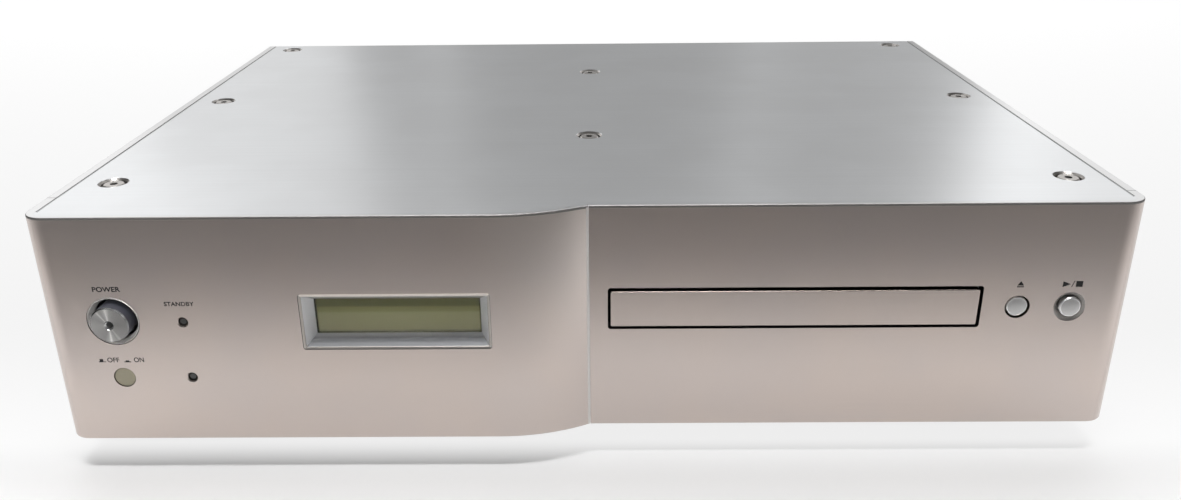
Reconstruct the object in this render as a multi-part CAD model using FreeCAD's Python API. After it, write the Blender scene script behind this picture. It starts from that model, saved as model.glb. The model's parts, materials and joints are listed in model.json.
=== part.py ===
import FreeCAD, Part
import math
import os

Vec = FreeCAD.Vector

# A hi-fi disc player: aluminium cabinet with a stepped front, a motorised disc tray on the right,
# a display and a power switch on the left. Millimetres. x runs to the right, y to the back and
# z up from the floor. While modelling, y = 0 is the face of the left front panel; every node is
# moved back to the middle of the whole object when it is written.

# Cabinet
body_width = 420.0
body_depth = 314.0
body_height = 95.0
foot_height = 14.0
front_step = 9.3           # the right front panel stands back by this much
swoop_width = 36.0         # the part of the left panel that curves back to the step
corner_radius = 8.5
edge_radius = 0.5          # outer edges of the cabinet
front_wall = 5.0
front_lip = 2.0            # part of the front wall that stands beside the top plate
side_wall = 3.8
rear_wall = 2.0
base_wall = 2.0
sheet = 1.6                # folded steel of the inner frame and rails
panel_ledge = 3.0          # ledges of the side panels that sit on the base
ledge_reach = 6.0
top_wall = 4.0
return_length = 22.0       # the front panels run this far back along the sides
frame_flange = 12.0        # folded edges of the inner frame
seam_gap = 0.3
seam_edge = 0.3            # round edge of the left front panel at the seam
fuse_sink = 0.5            # pieces that are fused together reach this far into each other
fuse_thin = 0.2
top_front_gap = 0.3
top_side_gap = 1.0
rib_depth = 1.2            # from the right panel's back to the inner frame
rib_width = 8.0            # screw channels between the front panels and the inner frame
rib_bore = 1.6
rib_inset = 5.0            # from the end of the room behind a panel
close_gap = 0.05           # between parts that sit tight in one another
frame_end_gap = 2.5        # the inner frame stops short of the round corners
rail_depth = 30.0          # side rails under the top plate
rail_flange = 8.0          # the rails reach this far past their screws
beam_width = 24.0
beam_depth = 9.0
boss_radius = 4.0
boss_depth = 7.0

# Screws of the top plate: three along each side and two down the middle
screw_side = 18.4          # from the cabinet's side
screw_front = 39.9         # from the left front face
screw_rear = 12.0          # from the rear
middle_screw_front = 103.0
middle_screw_rear = 81.5
cup_radius = 6.0
cup_depth = 2.6
cup_edge = 0.9             # slanted rim of a cup
head_radius = 4.2
head_height = 2.1
head_edge = 0.4
socket_depth = 1.4
screw_grip = 5.0           # the screws reach this far below their rails
shank_radius = 2.0
socket_radius = 1.65
thread_gap = 0.05
shank_gap = 0.25
slot_gap = 0.2             # round what stands in a hole of another shape

# Display in the left front panel, measured from the cabinet's bottom
display_gap = 1.55         # from the start of the swoop
display_z = 51.9
display_side = 99.95       # left end of the display, from the cabinet's left side
display_height = 23.2
display_corner = 1.0
display_lip = 0.8          # rim that lies on the panel
display_lip_proud = 0.35
display_slope = 3.4        # width of the slanted border
display_depth = 5.0        # from the panel's face to the window
display_clear = 0.1        # round the bezel's sleeve and round the window
display_board_rim = 2.0    # the board reaches this far past the bezel at each side
display_board_rise = 4.0   # and this far above and below it
display_post = 2.2
display_post_inset = 3.0
frame_inset_side = 12.1    # the inner frame's hole ends this far inside the display
frame_inset_level = 5.8
lcd_rim = 2.0              # the display panel reaches this far past its window
window_thickness = 1.5
lcd_thickness = 3.0
board_thickness = 1.6

# Power button, indicators and receiver window. Sides are measured from the cabinet's left side.
power_side = 27.9
power_z = 52.6
power_hole_radius = 10.15
power_dish_depth = 3.0
power_bore_radius = 8.5
power_radius = 7.35
power_edge = 0.5           # slanted rim of the button
dimple_radius = 1.9
dimple_depth = 1.1
power_proud = 3.7
power_travel = 4.0
power_rod_radius = 2.5
power_rod_length = 18.0    # behind the inner frame
power_flange = 1.2         # of the button and of the ring, behind the panel
power_hole_gap = 1.5       # round the button's rod in the inner frame
power_rod_gap = 0.15       # and in the switch
power_rod_room = 0.5
ring_flange_width = 3.0
ring_flange = 2.0
ring_edge = 0.5
ring_ease = 0.3
collar_gap = 0.1           # between the panel's back and a collar behind it
switch_length = 28.0
switch_half = 10.0
switch_half_height = 8.0
switch_pin_length = 4.0
switch_pin_pitch = 5.0
switch_pin_width = 1.2
switch_pin_half_height = 3.0
indicator_side = 54.5
indicator_z = (52.0, 28.0)
indicator_radius = 1.8
indicator_bevel = 0.4
guide_gap = 0.1
guide_recess = 0.9         # the guides stand this far inside their holes
guide_edge = 0.5
receiver_side = 28.0
receiver_z = 28.1
receiver_radius = 4.2
receiver_recess = 0.3
receiver_edge = 0.4
receiver_collar = 1.0
indicator_flange = 1.0     # collar that holds a guide behind the panel
receiver_flange = 1.5
indicator_room = 1.5       # between the guides and the board
indicator_board_rim = 8.0  # of the board round the indicators
receiver_board_rim = 9.0
lamp_half = 1.5
lamp_height = 1.2
sensor_half = 4.0
sensor_height = 4.5

# Eject and play buttons in the right front panel, measured from the cabinet's right side
eject_side = 44.2
play_side = 24.0
button_z = 52.05
eject_hole_radius = 4.8
play_dish_radius = 6.2
play_hole_radius = 4.3
play_dish_depth = 1.6
button_radius = 3.8
eject_proud = 0.8
play_proud = 1.0
button_travel = 1.2
button_edge = 0.7
slide_gap = 0.1            # round the buttons in their guide tubes
holder_gap = 0.1           # between the right panel and the button holder
holder_sheet = 2.0
holder_rim = 8.0           # of the holder round the buttons
holder_clear = 1.0         # round the holder in the inner frame
tube_wall = 1.2
tube_length = 7.0
stop_flange = 1.4          # collar of a button behind its tube
stop_thickness = 1.0
stop_gap = 0.2
plunger_length = 0.8
plunger_radius = 1.0
key_room = 3.8             # from the tube's end to the key
key_plunger = 0.6
key_half = 3.0
key_cap_radius = 1.7
key_switch_height = 2.4
holder_post_radius = 1.8
holder_post_inset = 6.0
key_board_rim = 9.0

# Tray opening and door
opening_margin = 7.2       # between the seam of the front panels and the opening
eject_gap = 9.0            # between the opening and the eject button's hole
tray_z = 52.2
opening_width = 144.8
opening_height = 17.7
opening_corner = 1.2
door_gap = 1.3
door_thickness = 3.0
door_bevel = 0.9

# Disc tray
tray_width = 128.0
tray_length = 166.0
tray_rise = 3.8            # rim above the middle of the door
tray_travel = 137.0
disc_setback = 70.0        # disc centre behind the door's face
well_radius = 60.6
well_depth = 3.0
small_well_radius = 41.0
small_well_depth = 1.2
tray_floor = 1.8
hub_slot = 42.0
runner_width = 3.0
runner_height = 2.4
runner_gap = 0.5           # beside the runners
run_gap = 0.3              # between the tray and its rails
tray_chamfer = 8.0         # at the tray's back corners
tray_rib = 2.0
tray_rib_height = 2.5
well_lean = 0.8            # a well is wider at its top
small_well_lean = 0.6
finger_radius = 11.0       # two hollows beside the disc
finger_front = 36.0        # in front of the disc's centre
finger_out = 1.0
finger_depth = 0.8
pocket_gap = 6.0           # between the disc's well and the pockets behind it
pocket_side = 4.0
pocket_back = 11.0
rack_before = 12.0         # the rack starts this far in front of its gear
rack_after = 5.0
rack_back = 4.0            # thickness behind the teeth

# Loader chassis
loader_wall = 2.5
loader_floor = 2.5
loader_length = 178.0
loader_rise = 4.0          # walls above the tray's rim
loader_gap = 0.5           # behind the inner frame
ledge_gap = 0.6            # beside the tray
ledge_thickness = 2.0
hook_length = 11.0
hook_front = 3.0           # hooks over the runners: behind the loader's front edge,
hook_before = 26.0         # in front of the clamp's bridge,
hook_after = 30.0          # behind it
hook_rear = 24.0           # and in front of the loader's back
loader_post_side = 8.0     # posts inside the loader's walls
loader_post_front = 6.0
loader_post_rear = 9.0
gear_room = 11.5           # from the loader's floor to the tray's underside

# Gears of the loader. Module and teeth give the pitch radii.
pressure_angle = 20.0
addendum = 0.9             # of a tooth, in modules
dedendum = 1.2
rack_module = 1.0
drive_pinion_teeth = 20
wheel_module = 0.8
drive_wheel_teeth = 36
pulley_pinion_teeth = 12
backlash = 0.16
root_ease = 0.02           # radians by which a tooth widens at its root
pulley_lift = 0.7          # above the loader's floor
pulley_height = 3.0
wheel_gap = 0.6
wheel_height = 2.4
pinion_gap = 0.5
pinion_height = 3.0
hub_lift = 0.4
gear_hub = 5.0
drive_gear_y = 34.0
rack_inset = 11.4          # pitch line of the rack from the tray's left edge
pulley_radius = 14.0
belt_thickness = 1.2
belt_height = 1.4
motor_pulley_radius = 4.2
belt_gap = 0.1
belt_span = 34.0
loading_can_radius = 12.0
loading_can_height = 18.0
can_edge = 1.0
motor_neck = 3.0
motor_neck_gap = 0.3
neck_drop = 0.5            # the motor's neck ends this far below the floor's top
motor_shaft_radius = 1.0
shaft_depth = 8.0          # of the shaft inside the motor
shaft_room = 1.0
shaft_lift = 2.5           # the shafts of the lower motors end this far above their bottoms
shaft_gap = 0.5
post_radius = 2.0
post_rise = 0.3            # the posts end this far above their gears
bush_height = 5.0
bush_radius = 7.0
bush_waist = 5.8
bush_collar = 1.5
bearing_gap = 0.06

# Traverse with its spindle and pickup
traverse_sheet = 1.6
traverse_drop = 5.0        # degrees that it swings down
pivot_y = 168.0
pivot_radius = 1.5
traverse_left = 34.0       # reach on each side of the spindle
traverse_right = 50.0
traverse_front_y = 60.0
traverse_back_y = 173.0
traverse_corner = 4.0
traverse_room = 4.0        # round the traverse in the loader's floor
traverse_lift = 0.5        # above the loader's floor
pivot_length = 7.0         # the pivot pins reach this far out of the plate
pivot_root = 4.0
pin_end = 0.8              # the front pin reaches this far through the slider
pivot_block_width = 5.0
pivot_block_half = 4.5
ear_half = 2.6             # ears that hold the guide rods
ear_depth = 2.5
ear_rise = 2.2
press_gap = 0.02
spindle_radius = 1.0
spindle_motor_radius = 12.0
spindle_motor_height = 12.0
spindle_neck = 3.0
neck_rise = 0.6            # the motors' necks stand out of the plate
neck_hole_radius = 4.0
turntable_radius = 15.0
disc_lift = 0.6            # turntable above the tray's well
turntable_edge = 1.6
turntable_lean = 0.8
hub_lean = 0.8
turntable_stem = 5.0
stem_gap = 0.6
hub_radius = 7.4
hub_height = 2.4
rod_radius = 1.5
rod_offset = 23.0          # guide rods left and right of the spindle
rod_start = 11.5           # behind the spindle
rod_rear = 3.0             # in front of the pivot
guide_lift = 3.2           # the rods' axes above the plate
sled_travel = 36.0
sled_start = 16.5          # front of the sled behind the spindle
sled_length = 30.0
sled_half = 17.0
sled_drop = 6.0            # below the plate
sled_rise = 5.4            # above the plate
sled_window_half = 20.8
sled_window_start = 14.0
sled_window_room = 30.0
arm_reach = 3.0            # past the guide rods
arm_front = 4.0
arm_depth = 18.0
fork_front = 8.0
fork_depth = 8.0
arm_lift = 0.6
arm_rise = 2.6             # above the rods' axes
cradle_half = 9.0
cradle_front = 5.0
cradle_back = 12.0
cradle_height = 1.5
mount_front = 6.4
holder_half = 5.5
holder_front = 4.5
holder_back = 6.0
holder_height = 2.0
lens_ring_radius = 2.8
lens_ring_height = 0.6
lens_radius = 2.0
lens_curve = 4.0
lens_recess = 0.4
lens_room = 0.8            # under the lens holder, for focusing
lens_start = 24.0          # lens behind the spindle at the innermost track
sled_module = 0.8
sled_pinion_teeth = 12
sled_wheel_module = 0.6
sled_wheel_teeth = 30
motor_pinion_teeth = 10
sled_gear_back = 50.7      # gear axis behind the spindle
sled_wheel_lift = 2.4
sled_wheel_height = 2.0
sled_rack_height = 2.0
sled_rack_back = 3.0
sled_rack_end = 6.0
sled_hub = 2.6
sled_post_radius = 1.0
sled_can_radius = 10.0
sled_can_height = 15.0
rack_reach = 32.0          # pitch line of the sled's rack beside the spindle

# Lift slider in front of the traverse
slider_travel = 16.0
slider_thickness = 2.5
slider_gap = 0.4
slider_foot = 5.2
slider_foot_height = 2.0
slider_half = 30.0
slider_rise = 4.5          # above and below the pin's path
slider_front = 6.0         # in front of the traverse
guide_half = 3.0           # hooks that hold the slider's foot down
guide_lip = 1.8
guide_side = 6.0           # places of the hooks beside the tray's middle
guide_inset = 5.0

# Clamp above the disc
bridge_width = 48.0
bridge_sheet = 1.7
puck_radius = 16.0
puck_flange_radius = 21.0
puck_flange = 2.0
puck_lift = 0.35           # above the turntable, with no disc in
puck_gap = 0.3             # between its flange and the bridge
puck_edge = 1.0
puck_bore_gap = 0.8
puck_bore_depth = 4.0
puck_dish = 8.0
bridge_rise = 6.0          # above the loader's walls
bridge_hole_radius = 17.5

# Feet
foot_radius = 22.0
foot_side = 45.0
foot_front = 62.0
foot_rear = 52.0
pad_radius = 18.0
pad_inner_radius = 10.0
pad_thickness = 3.0
pad_proud = 2.0
pad_clear = 0.5            # between the rubber ring and its groove
pad_edge = 0.8
foot_edge = 1.0
foot_hub = 7.0             # recess round the foot's screw
foot_neck = 1.5            # step below the base
foot_seat = 3.0            # the screw's head sits this far above the foot's lower face

# Power supply and boards
transformer_side = 70.0
transformer_y = 122.0
transformer_radius = 48.0
transformer_height = 48.0
transformer_hole = 9.0
transformer_round = 8.0
transformer_foot = 6.0
clamp_radius = 26.0
clamp_sheet = 1.5
clamp_depth = 5.0
clamp_gap = 0.3
clamp_bore = 3.1
nut_radius = 5.5
nut_height = 3.3
nut_gap = 0.1
board_lift = 6.0
board_post = 3.0
post_inset = 5.0           # posts stand this far inside a board's corners
loader_post_wall = 2.0     # the loader's posts are thicker than the boards'
thread_depth = 8.0
chip_sink = 1.1
can_rim = 0.8
can_foot = 0.6
power_board_side = 10.0
power_board_width = 112.0
power_board_gap = 20.0     # behind the transformer
power_board_rear = 18.0
audio_board_gap = 18.0     # between the power board and the audio board
audio_board_side = 14.0
audio_board_front = 216.0
audio_board_rear = 14.0
servo_board_half = 54.0
servo_board_front = 60.0
servo_board_back = 176.0

# Chips and filters on the boards: place from the board's middle, width, depth and height
audio_chips = ((-33.0, -8.0, 20.0, 20.0, 2.4), (-1.0, -8.0, 14.0, 14.0, 2.4), (37.0, -10.0, 10.0, 28.0, 2.6),
               (77.0, 0.0, 16.0, 24.0, 14.0), (102.0, 0.0, 16.0, 24.0, 14.0))
servo_chips = ((0.0, 2.0, 22.0, 22.0, 2.4), (-20.0, 32.0, 12.0, 8.0, 2.2), (30.0, -28.0, 12.0, 8.0, 2.2))

# Capacitors: place from the board's front left corner, radius and height
power_cans = ((20.0, 25.0, 12.5, 40.0), (50.0, 25.0, 12.5, 40.0), (20.0, 53.0, 9.0, 30.0),
              (43.0, 53.0, 9.0, 30.0))
audio_cans = ((30.0, 20.0, 8.0, 25.0), (52.0, 20.0, 8.0, 25.0))

# Heat sink on the power board
sink_side = 8.0            # from the board's right edge
sink_width = 22.0
sink_front = 10.0
sink_height = 38.0
sink_base = 5.0
fin_count = 7
fin_pitch = 10.0
fin_thickness = 2.4

# Air slots in the base, in two columns on each side
slot_sides = (85.0, 150.0)
slot_rows = 8
slot_first_y = 100.0
slot_pitch = 16.0
slot_length = 40.0
slot_width = 3.0

# Rear sockets: the inlet from the cabinet's left side, the others from its right side
inlet_side = 60.0
inlet_z = 36.0
line_sides = (82.0, 58.0)
digital_side = 118.0
optical_side = 142.0
control_sides = (186.0, 168.0)
socket_z = 40.0
rear_screw_side = 30.0
rear_screw_drop = 12.0     # below the top plate
rear_screw_lift = 14.0     # above the sockets
plug_radius = 4.15
jack_reach = 10.0
jack_body_radius = 5.5
jack_inside = 12.0         # the sockets reach this far inside the rear panel
small_jack_inside = 14.0
control_bore_depth = 11.0  # inside the rear panel
phono_bore = 1.6
phono_bore_depth = 9.0
control_body_radius = 3.9
control_bore = 1.8
optical_half = 4.8
inlet_half = 12.8
inlet_half_height = 8.8
inlet_flange = 24.0
inlet_reach = 18.0         # inside the rear panel
rear_shank_radius = 1.5
rear_head_radius = 3.0
rear_head_height = 1.9
rear_screw_length = 6.0
jack_collar = 0.7
jack_collar_height = 1.1
jack_edge = 0.5
jack_rim = 3.0
jack_recess = 0.4
body_gap = 0.1             # round a socket in the rear panel
socket_rise = 1.0
optical_rim = 1.7
optical_rim_height = 1.6
optical_shutter = 1.6      # rim of the socket round its shutter
shutter_depth = 0.2
control_collar = 0.7
control_collar_height = 1.5
inlet_rim = 2.2
inlet_rim_height = 2.5
inlet_corner = 3.0
inlet_wall = 1.8
inlet_cut = 4.0
inlet_floor = 4.0
inlet_pin_half = 1.0
inlet_pin_half_height = 2.0
inlet_pin_offset = 5.0
inlet_pin_drop = 1.0

# Worked out from the sizes above
half_width = body_width / 2
tray_side = eject_side + eject_hole_radius + eject_gap + opening_width / 2
right_width = tray_side + opening_width / 2 + opening_margin
left_width = body_width - right_width
seam_x = half_width - right_width
display_width = left_width - swoop_width - display_gap - display_side
body_bottom = foot_height
body_top = body_bottom + body_height
base_top = body_bottom + base_wall
plate_bottom = body_top - top_wall
swoop_radius = (swoop_width ** 2 + front_step ** 2) / (2 * front_step)
swoop_start = seam_x - swoop_width
right_back = front_step + front_wall
frame_front = right_back + rib_depth
frame_back = frame_front + sheet
inner_half = half_width - side_wall
rear_face = body_depth
rear_inside = body_depth - rear_wall
side_screw_x = half_width - screw_side
side_screw_y = (screw_front, (screw_front + rear_face - screw_rear) / 2, rear_face - screw_rear)
middle_screw_y = (middle_screw_front, rear_face - middle_screw_rear)
rail_front = frame_back + frame_flange + seam_gap
display_x = swoop_start - display_gap - display_width / 2
power_x = -half_width + power_side
indicator_x = -half_width + indicator_side
receiver_x = -half_width + receiver_side
eject_x = half_width - eject_side
play_x = half_width - play_side
indicator_board_end = indicator_x + indicator_board_rim
tray_x = half_width - tray_side
transformer_x = -half_width + transformer_side
inlet_x = -half_width + inlet_side
line_x = tuple(half_width - side for side in line_sides)
digital_x = half_width - digital_side
optical_x = half_width - optical_side
control_x = tuple(half_width - side for side in control_sides)
power_board_x = (-half_width + power_board_side, -half_width + power_board_side + power_board_width)
power_board_y = (transformer_y + transformer_radius + power_board_gap, rear_face - power_board_rear)
audio_board_x = (power_board_x[1] + audio_board_gap, half_width - audio_board_side)
audio_board_y = (audio_board_front, rear_face - audio_board_rear)
servo_board_x = (tray_x - servo_board_half, tray_x + servo_board_half)
servo_board_y = (servo_board_front, servo_board_back)
origin_y = (rear_face + jack_reach - power_proud) / 2


def outline(path):
    """A flat face. A point with four numbers is reached by an arc about the last two."""
    edges = []
    for start, end in zip(path, path[1:] + path[:1]):
        a = Vec(start[0], start[1], 0)
        b = Vec(end[0], end[1], 0)
        if (b - a).Length < 1e-6:
            continue
        if len(end) == 4:
            centre = Vec(end[2], end[3], 0)
            middle = (a + b) * 0.5 - centre
            middle.normalize()
            edges.append(Part.Arc(a, centre + middle * (b - centre).Length, b).toShape())
        else:
            edges.append(Part.makeLine(a, b))
    return Part.Face(Part.Wire(edges))


def slab(path, low, high, along="z"):
    """An outline given thickness along z, along y (drawn in x, z) or along x (drawn in y, z)."""
    face = outline(path)
    if along == "y":
        face.rotate(Vec(0, 0, 0), Vec(1, 0, 0), 90)
        face.translate(Vec(0, low, 0))
        return face.extrude(Vec(0, high - low, 0))
    if along == "x":
        face.rotate(Vec(0, 0, 0), Vec(1, 1, 1), 120)
        face.translate(Vec(low, 0, 0))
        return face.extrude(Vec(high - low, 0, 0))
    face.translate(Vec(0, 0, low))
    return face.extrude(Vec(0, 0, high - low))


def block(x, y, z):
    return Part.makeBox(x[1] - x[0], y[1] - y[0], z[1] - z[0], Vec(x[0], y[0], z[0]))


def rod(radius, start, end):
    axis = Vec(*end) - Vec(*start)
    return Part.makeCylinder(radius, axis.Length, Vec(*start), axis)


def cone(radius_a, radius_b, start, end):
    axis = Vec(*end) - Vec(*start)
    return Part.makeCone(radius_a, radius_b, axis.Length, Vec(*start), axis)


def turned(path, x=0.0, y=0.0, z=0.0, along="z"):
    """A profile of (radius, height) points turned about z, or about y with its heights to the back."""
    face = outline(path)
    face.rotate(Vec(0, 0, 0), Vec(1, 0, 0), 90)
    solid = face.revolve(Vec(0, 0, 0), Vec(0, 0, 1), 360)
    if along == "y":
        solid.rotate(Vec(0, 0, 0), Vec(1, 0, 0), -90)
    solid.translate(Vec(x, y, z))
    return solid


def joined(pieces):
    return pieces[0].fuse(pieces[1:]).removeSplitter()


def rounded(x, y, radius):
    """The path of a rectangle with round corners."""
    (x0, x1), (y0, y1) = x, y
    r = radius
    return [(x0 + r, y0), (x1 - r, y0), (x1, y0 + r, x1 - r, y0 + r), (x1, y1 - r),
            (x1 - r, y1, x1 - r, y1 - r), (x0 + r, y1), (x0, y1 - r, x0 + r, y1 - r),
            (x0, y0 + r), (x0 + r, y0, x0 + r, y0 + r)]


def save(name, shape):
    """Each node is moved so that the whole object stands on the middle of its box."""
    shape = shape.copy()
    shape.translate(Vec(0, -origin_y, 0))
    shape.exportStep("parts/" + name + ".step")


# ---- Cabinet

def cabinet_outline(front_inset, side_inset):
    """The plan of what fits inside the front and side walls, following the swoop."""
    side = half_width - side_inset
    radius = swoop_radius - front_inset
    left_y = front_inset
    right_y = front_step + front_inset
    meet_x = swoop_start + math.sqrt(radius ** 2 - (swoop_radius - right_y) ** 2)
    round_corner = max(corner_radius - side_inset, 1.0)
    return [(-side + round_corner, left_y),
            (swoop_start, left_y),
            (meet_x, right_y, swoop_start, swoop_radius),
            (side - round_corner, right_y),
            (side, right_y + round_corner, side - round_corner, right_y + round_corner),
            (side, rear_face), (-side, rear_face),
            (-side, left_y + round_corner),
            (-side + round_corner, left_y, -side + round_corner, left_y + round_corner)]


def swoop_y(x, inset):
    """How far back the curved face lies at x, measured on the wall that is inset from it."""
    return swoop_radius - math.sqrt((swoop_radius - inset) ** 2 - (x - swoop_start) ** 2)


def panel_pocket():
    """Room inside the front walls for the top plate and, at the bottom, for the base."""
    upper = slab(cabinet_outline(front_lip, side_wall), plate_bottom, body_top + 1)
    lower = slab(cabinet_outline(front_wall, side_wall), body_bottom - 1, base_top)
    return [upper, lower]


def screw_rib(x, front, reach):
    """A screw channel that stands on the back of a front panel and meets the inner frame."""
    half = rib_width / 2
    rib = block((x - half, x + half), (front, reach), (body_bottom, body_top))
    middle = (front + reach) / 2
    if reach - front < rib_bore * 3:
        return rib
    return rib.cut(rod(rib_bore, (x, middle, body_bottom), (x, middle, body_top)))


def eased(solid, end):
    """Round the top and bottom edges of a front panel, but not those at its back and at its end."""
    edges = []
    for edge in solid.Edges:
        low = edge.BoundBox.ZMin
        at = edge.valueAt((edge.FirstParameter + edge.LastParameter) / 2)
        level = edge.BoundBox.ZMax - low < 1e-6
        if level and abs(at.x - end) > 1e-3 and at.y < return_length - 1e-3:
            edges.append(edge)
    return solid.makeFillet(edge_radius, edges)


def left_front_panel():
    end = seam_x - seam_gap / 2
    inner = corner_radius - side_wall
    outside = [(end, swoop_y(end, 0)),
               (swoop_start, 0, swoop_start, swoop_radius),
               (-half_width + corner_radius, 0),
               (-half_width, corner_radius, -half_width + corner_radius, corner_radius),
               (-half_width, return_length), (end, return_length)]
    inside = [(-inner_half, return_length + 1),
              (-inner_half, front_wall + inner),
              (-inner_half + inner, front_wall, -inner_half + inner, front_wall + inner),
              (swoop_start, front_wall),
              (end, swoop_y(end, front_wall), swoop_start, swoop_radius),
              (end + 1, swoop_y(end, front_wall)), (end + 1, return_length + 1)]
    panel = eased(slab(outside, body_bottom, body_top), end)
    corner = [edge for edge in panel.Edges if edge.BoundBox.ZLength > body_height / 2
              and abs(edge.CenterOfMass.x - end) < 1e-3 and edge.CenterOfMass.y < return_length - 1]
    panel = panel.makeFillet(seam_edge, corner)
    panel = panel.cut(slab(inside, body_bottom - 1, body_top + 1))
    rib_x = (indicator_board_end + display_x - display_width / 2 - display_board_rim) / 2
    ribs = [screw_rib(x, front_wall - fuse_sink, frame_front)
            for x in (-inner_half + rib_inset, rib_x, swoop_start + rib_width)]
    panel = joined([panel] + ribs).cut(panel_pocket())
    holes = [display_hole(0.0),
             power_hole(),
             rod(receiver_radius + close_gap, (receiver_x, -1, body_bottom + receiver_z),
                 (receiver_x, front_wall + 1, body_bottom + receiver_z))]
    for z in indicator_z:
        at = body_bottom + z
        holes.append(rod(indicator_radius, (indicator_x, -1, at), (indicator_x, front_wall + 1, at)))
        holes.append(cone(indicator_radius + indicator_bevel, indicator_radius,
                          (indicator_x, 0, at), (indicator_x, indicator_bevel, at)))
    save("left_front_panel", panel.cut(holes))


def display_hole(gap):
    half_w = display_width / 2 - display_lip + gap
    half_h = display_height / 2 - display_lip + gap
    z = body_bottom + display_z
    return block((display_x - half_w, display_x + half_w), (-1, front_wall + 1), (z - half_h, z + half_h))


def power_hole():
    z = body_bottom + power_z
    return rod(power_hole_radius, (power_x, -1, z), (power_x, front_wall + 1, z))


def right_front_panel():
    start = seam_x + seam_gap / 2
    inner = corner_radius - side_wall
    outside = [(start, front_step),
               (half_width - corner_radius, front_step),
               (half_width, front_step + corner_radius,
                half_width - corner_radius, front_step + corner_radius),
               (half_width, return_length), (start, return_length)]
    inside = [(inner_half, return_length + 1),
              (inner_half, right_back + inner),
              (inner_half - inner, right_back, inner_half - inner, right_back + inner),
              (start - 1, right_back), (start - 1, return_length + 1)]
    panel = eased(slab(outside, body_bottom, body_top), start)
    panel = panel.cut(slab(inside, body_bottom - 1, body_top + 1))
    ribs = [screw_rib(x, right_back - fuse_sink, frame_front)
            for x in (seam_x + rib_inset, inner_half - rib_inset)]
    panel = joined([panel] + ribs).cut(panel_pocket())
    z = body_bottom + button_z
    face = front_step
    holes = [tray_opening(front_step - 1, right_back + 1),
             rod(eject_hole_radius, (eject_x, face - 1, z), (eject_x, right_back + 1, z)),
             rod(play_hole_radius, (play_x, face - 1, z), (play_x, right_back + 1, z)),
             cone(play_dish_radius, play_hole_radius, (play_x, face, z), (play_x, face + play_dish_depth, z))]
    save("right_front_panel", panel.cut(holes))


def tray_opening(front, back):
    half_w = opening_width / 2
    half_h = opening_height / 2
    z = body_bottom + tray_z
    path = rounded((tray_x - half_w, tray_x + half_w), (z - half_h, z + half_h), opening_corner)
    return slab(path, front, back, "y")


def side_panels():
    """Flat side walls with a ledge near the bottom that sits on the base."""
    for name, side in (("left_side_panel", -1), ("right_side_panel", 1)):
        outer = side * half_width
        inner = side * inner_half
        lip = side * (inner_half - ledge_reach)
        wall = block(sorted((outer, inner)), (return_length + seam_gap, rear_face), (body_bottom, body_top))
        edges = [edge for edge in wall.Edges
                 if abs(edge.CenterOfMass.x - outer) < 1e-3 and edge.BoundBox.YLength > corner_radius]
        wall = wall.makeFillet(edge_radius, edges)
        ledge = block(sorted((inner, lip)), (rail_front, rear_inside - seam_gap),
                      (base_top, base_top + panel_ledge))
        save(name, joined([wall, ledge]))


def top_screw_places():
    places = [(side * side_screw_x, y) for side in (-1, 1) for y in side_screw_y]
    return places + [(0.0, y) for y in middle_screw_y]


def top_plate():
    plate = slab(cabinet_outline(front_lip + top_front_gap, side_wall + top_side_gap),
                 plate_bottom, body_top)
    cuts = []
    for x, y in top_screw_places():
        seat = body_top - cup_depth
        inner = cup_radius - cup_edge
        cuts.append(cone(inner, cup_radius, (x, y, body_top - cup_edge), (x, y, body_top)))
        cuts.append(rod(inner, (x, y, seat), (x, y, body_top)))
        cuts.append(rod(shank_radius + shank_gap, (x, y, plate_bottom - 1), (x, y, seat)))
    save("top_plate", plate.cut(cuts))


def socket_screw(head_r, head_h, shank_r, length, key_r):
    """Head upwards with its seat at z = 0, a hexagonal socket and a plain shank."""
    head = turned([(0, 0), (head_r, 0), (head_r, head_h - head_edge), (head_r - head_edge, head_h),
                   (0, head_h)])
    shank = rod(shank_r, (0, 0, -length), (0, 0, 0.1))
    corners = [(key_r * math.cos(math.radians(60 * k)), key_r * math.sin(math.radians(60 * k)))
               for k in range(6)]
    key = slab(corners, head_h - socket_depth, head_h + 1)
    return head.fuse(shank).cut(key)


def placed(shape, x, y, z):
    copy = shape.copy()
    copy.translate(Vec(x, y, z))
    return copy


def top_screws():
    length = top_wall - cup_depth + sheet + screw_grip
    screw = socket_screw(head_radius, head_height, shank_radius, length, socket_radius)
    seat = body_top - cup_depth
    save("top_screws", Part.makeCompound([placed(screw, x, y, seat) for x, y in top_screw_places()]))


def top_rails():
    """Angles under the plate's edges and a channel down the middle, with a boss for each screw."""
    rails = [centre_beam()]
    flange = inner_half - side_screw_x + rail_flange
    for side in (-1, 1):
        wall = side * inner_half
        path = [(wall, plate_bottom), (wall - side * flange, plate_bottom),
                (wall - side * flange, plate_bottom - sheet), (wall - side * sheet, plate_bottom - sheet),
                (wall - side * sheet, plate_bottom - rail_depth), (wall, plate_bottom - rail_depth)]
        rail = slab(path, rail_front, rear_inside - seam_gap, "y")
        rails.append(with_bosses(rail, [(side * side_screw_x, y) for y in side_screw_y]))
    save("top_rails", Part.makeCompound(rails))


def with_bosses(rail, places):
    """Hang a bored boss under the rail for each screw of the top plate."""
    bosses = [rod(boss_radius, (x, y, plate_bottom - boss_depth), (x, y, plate_bottom - sheet))
              for x, y in places]
    bores = [rod(shank_radius + thread_gap, (x, y, plate_bottom - boss_depth - 1), (x, y, plate_bottom + 1))
             for x, y in places]
    return joined([rail] + bosses).cut(bores)


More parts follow.
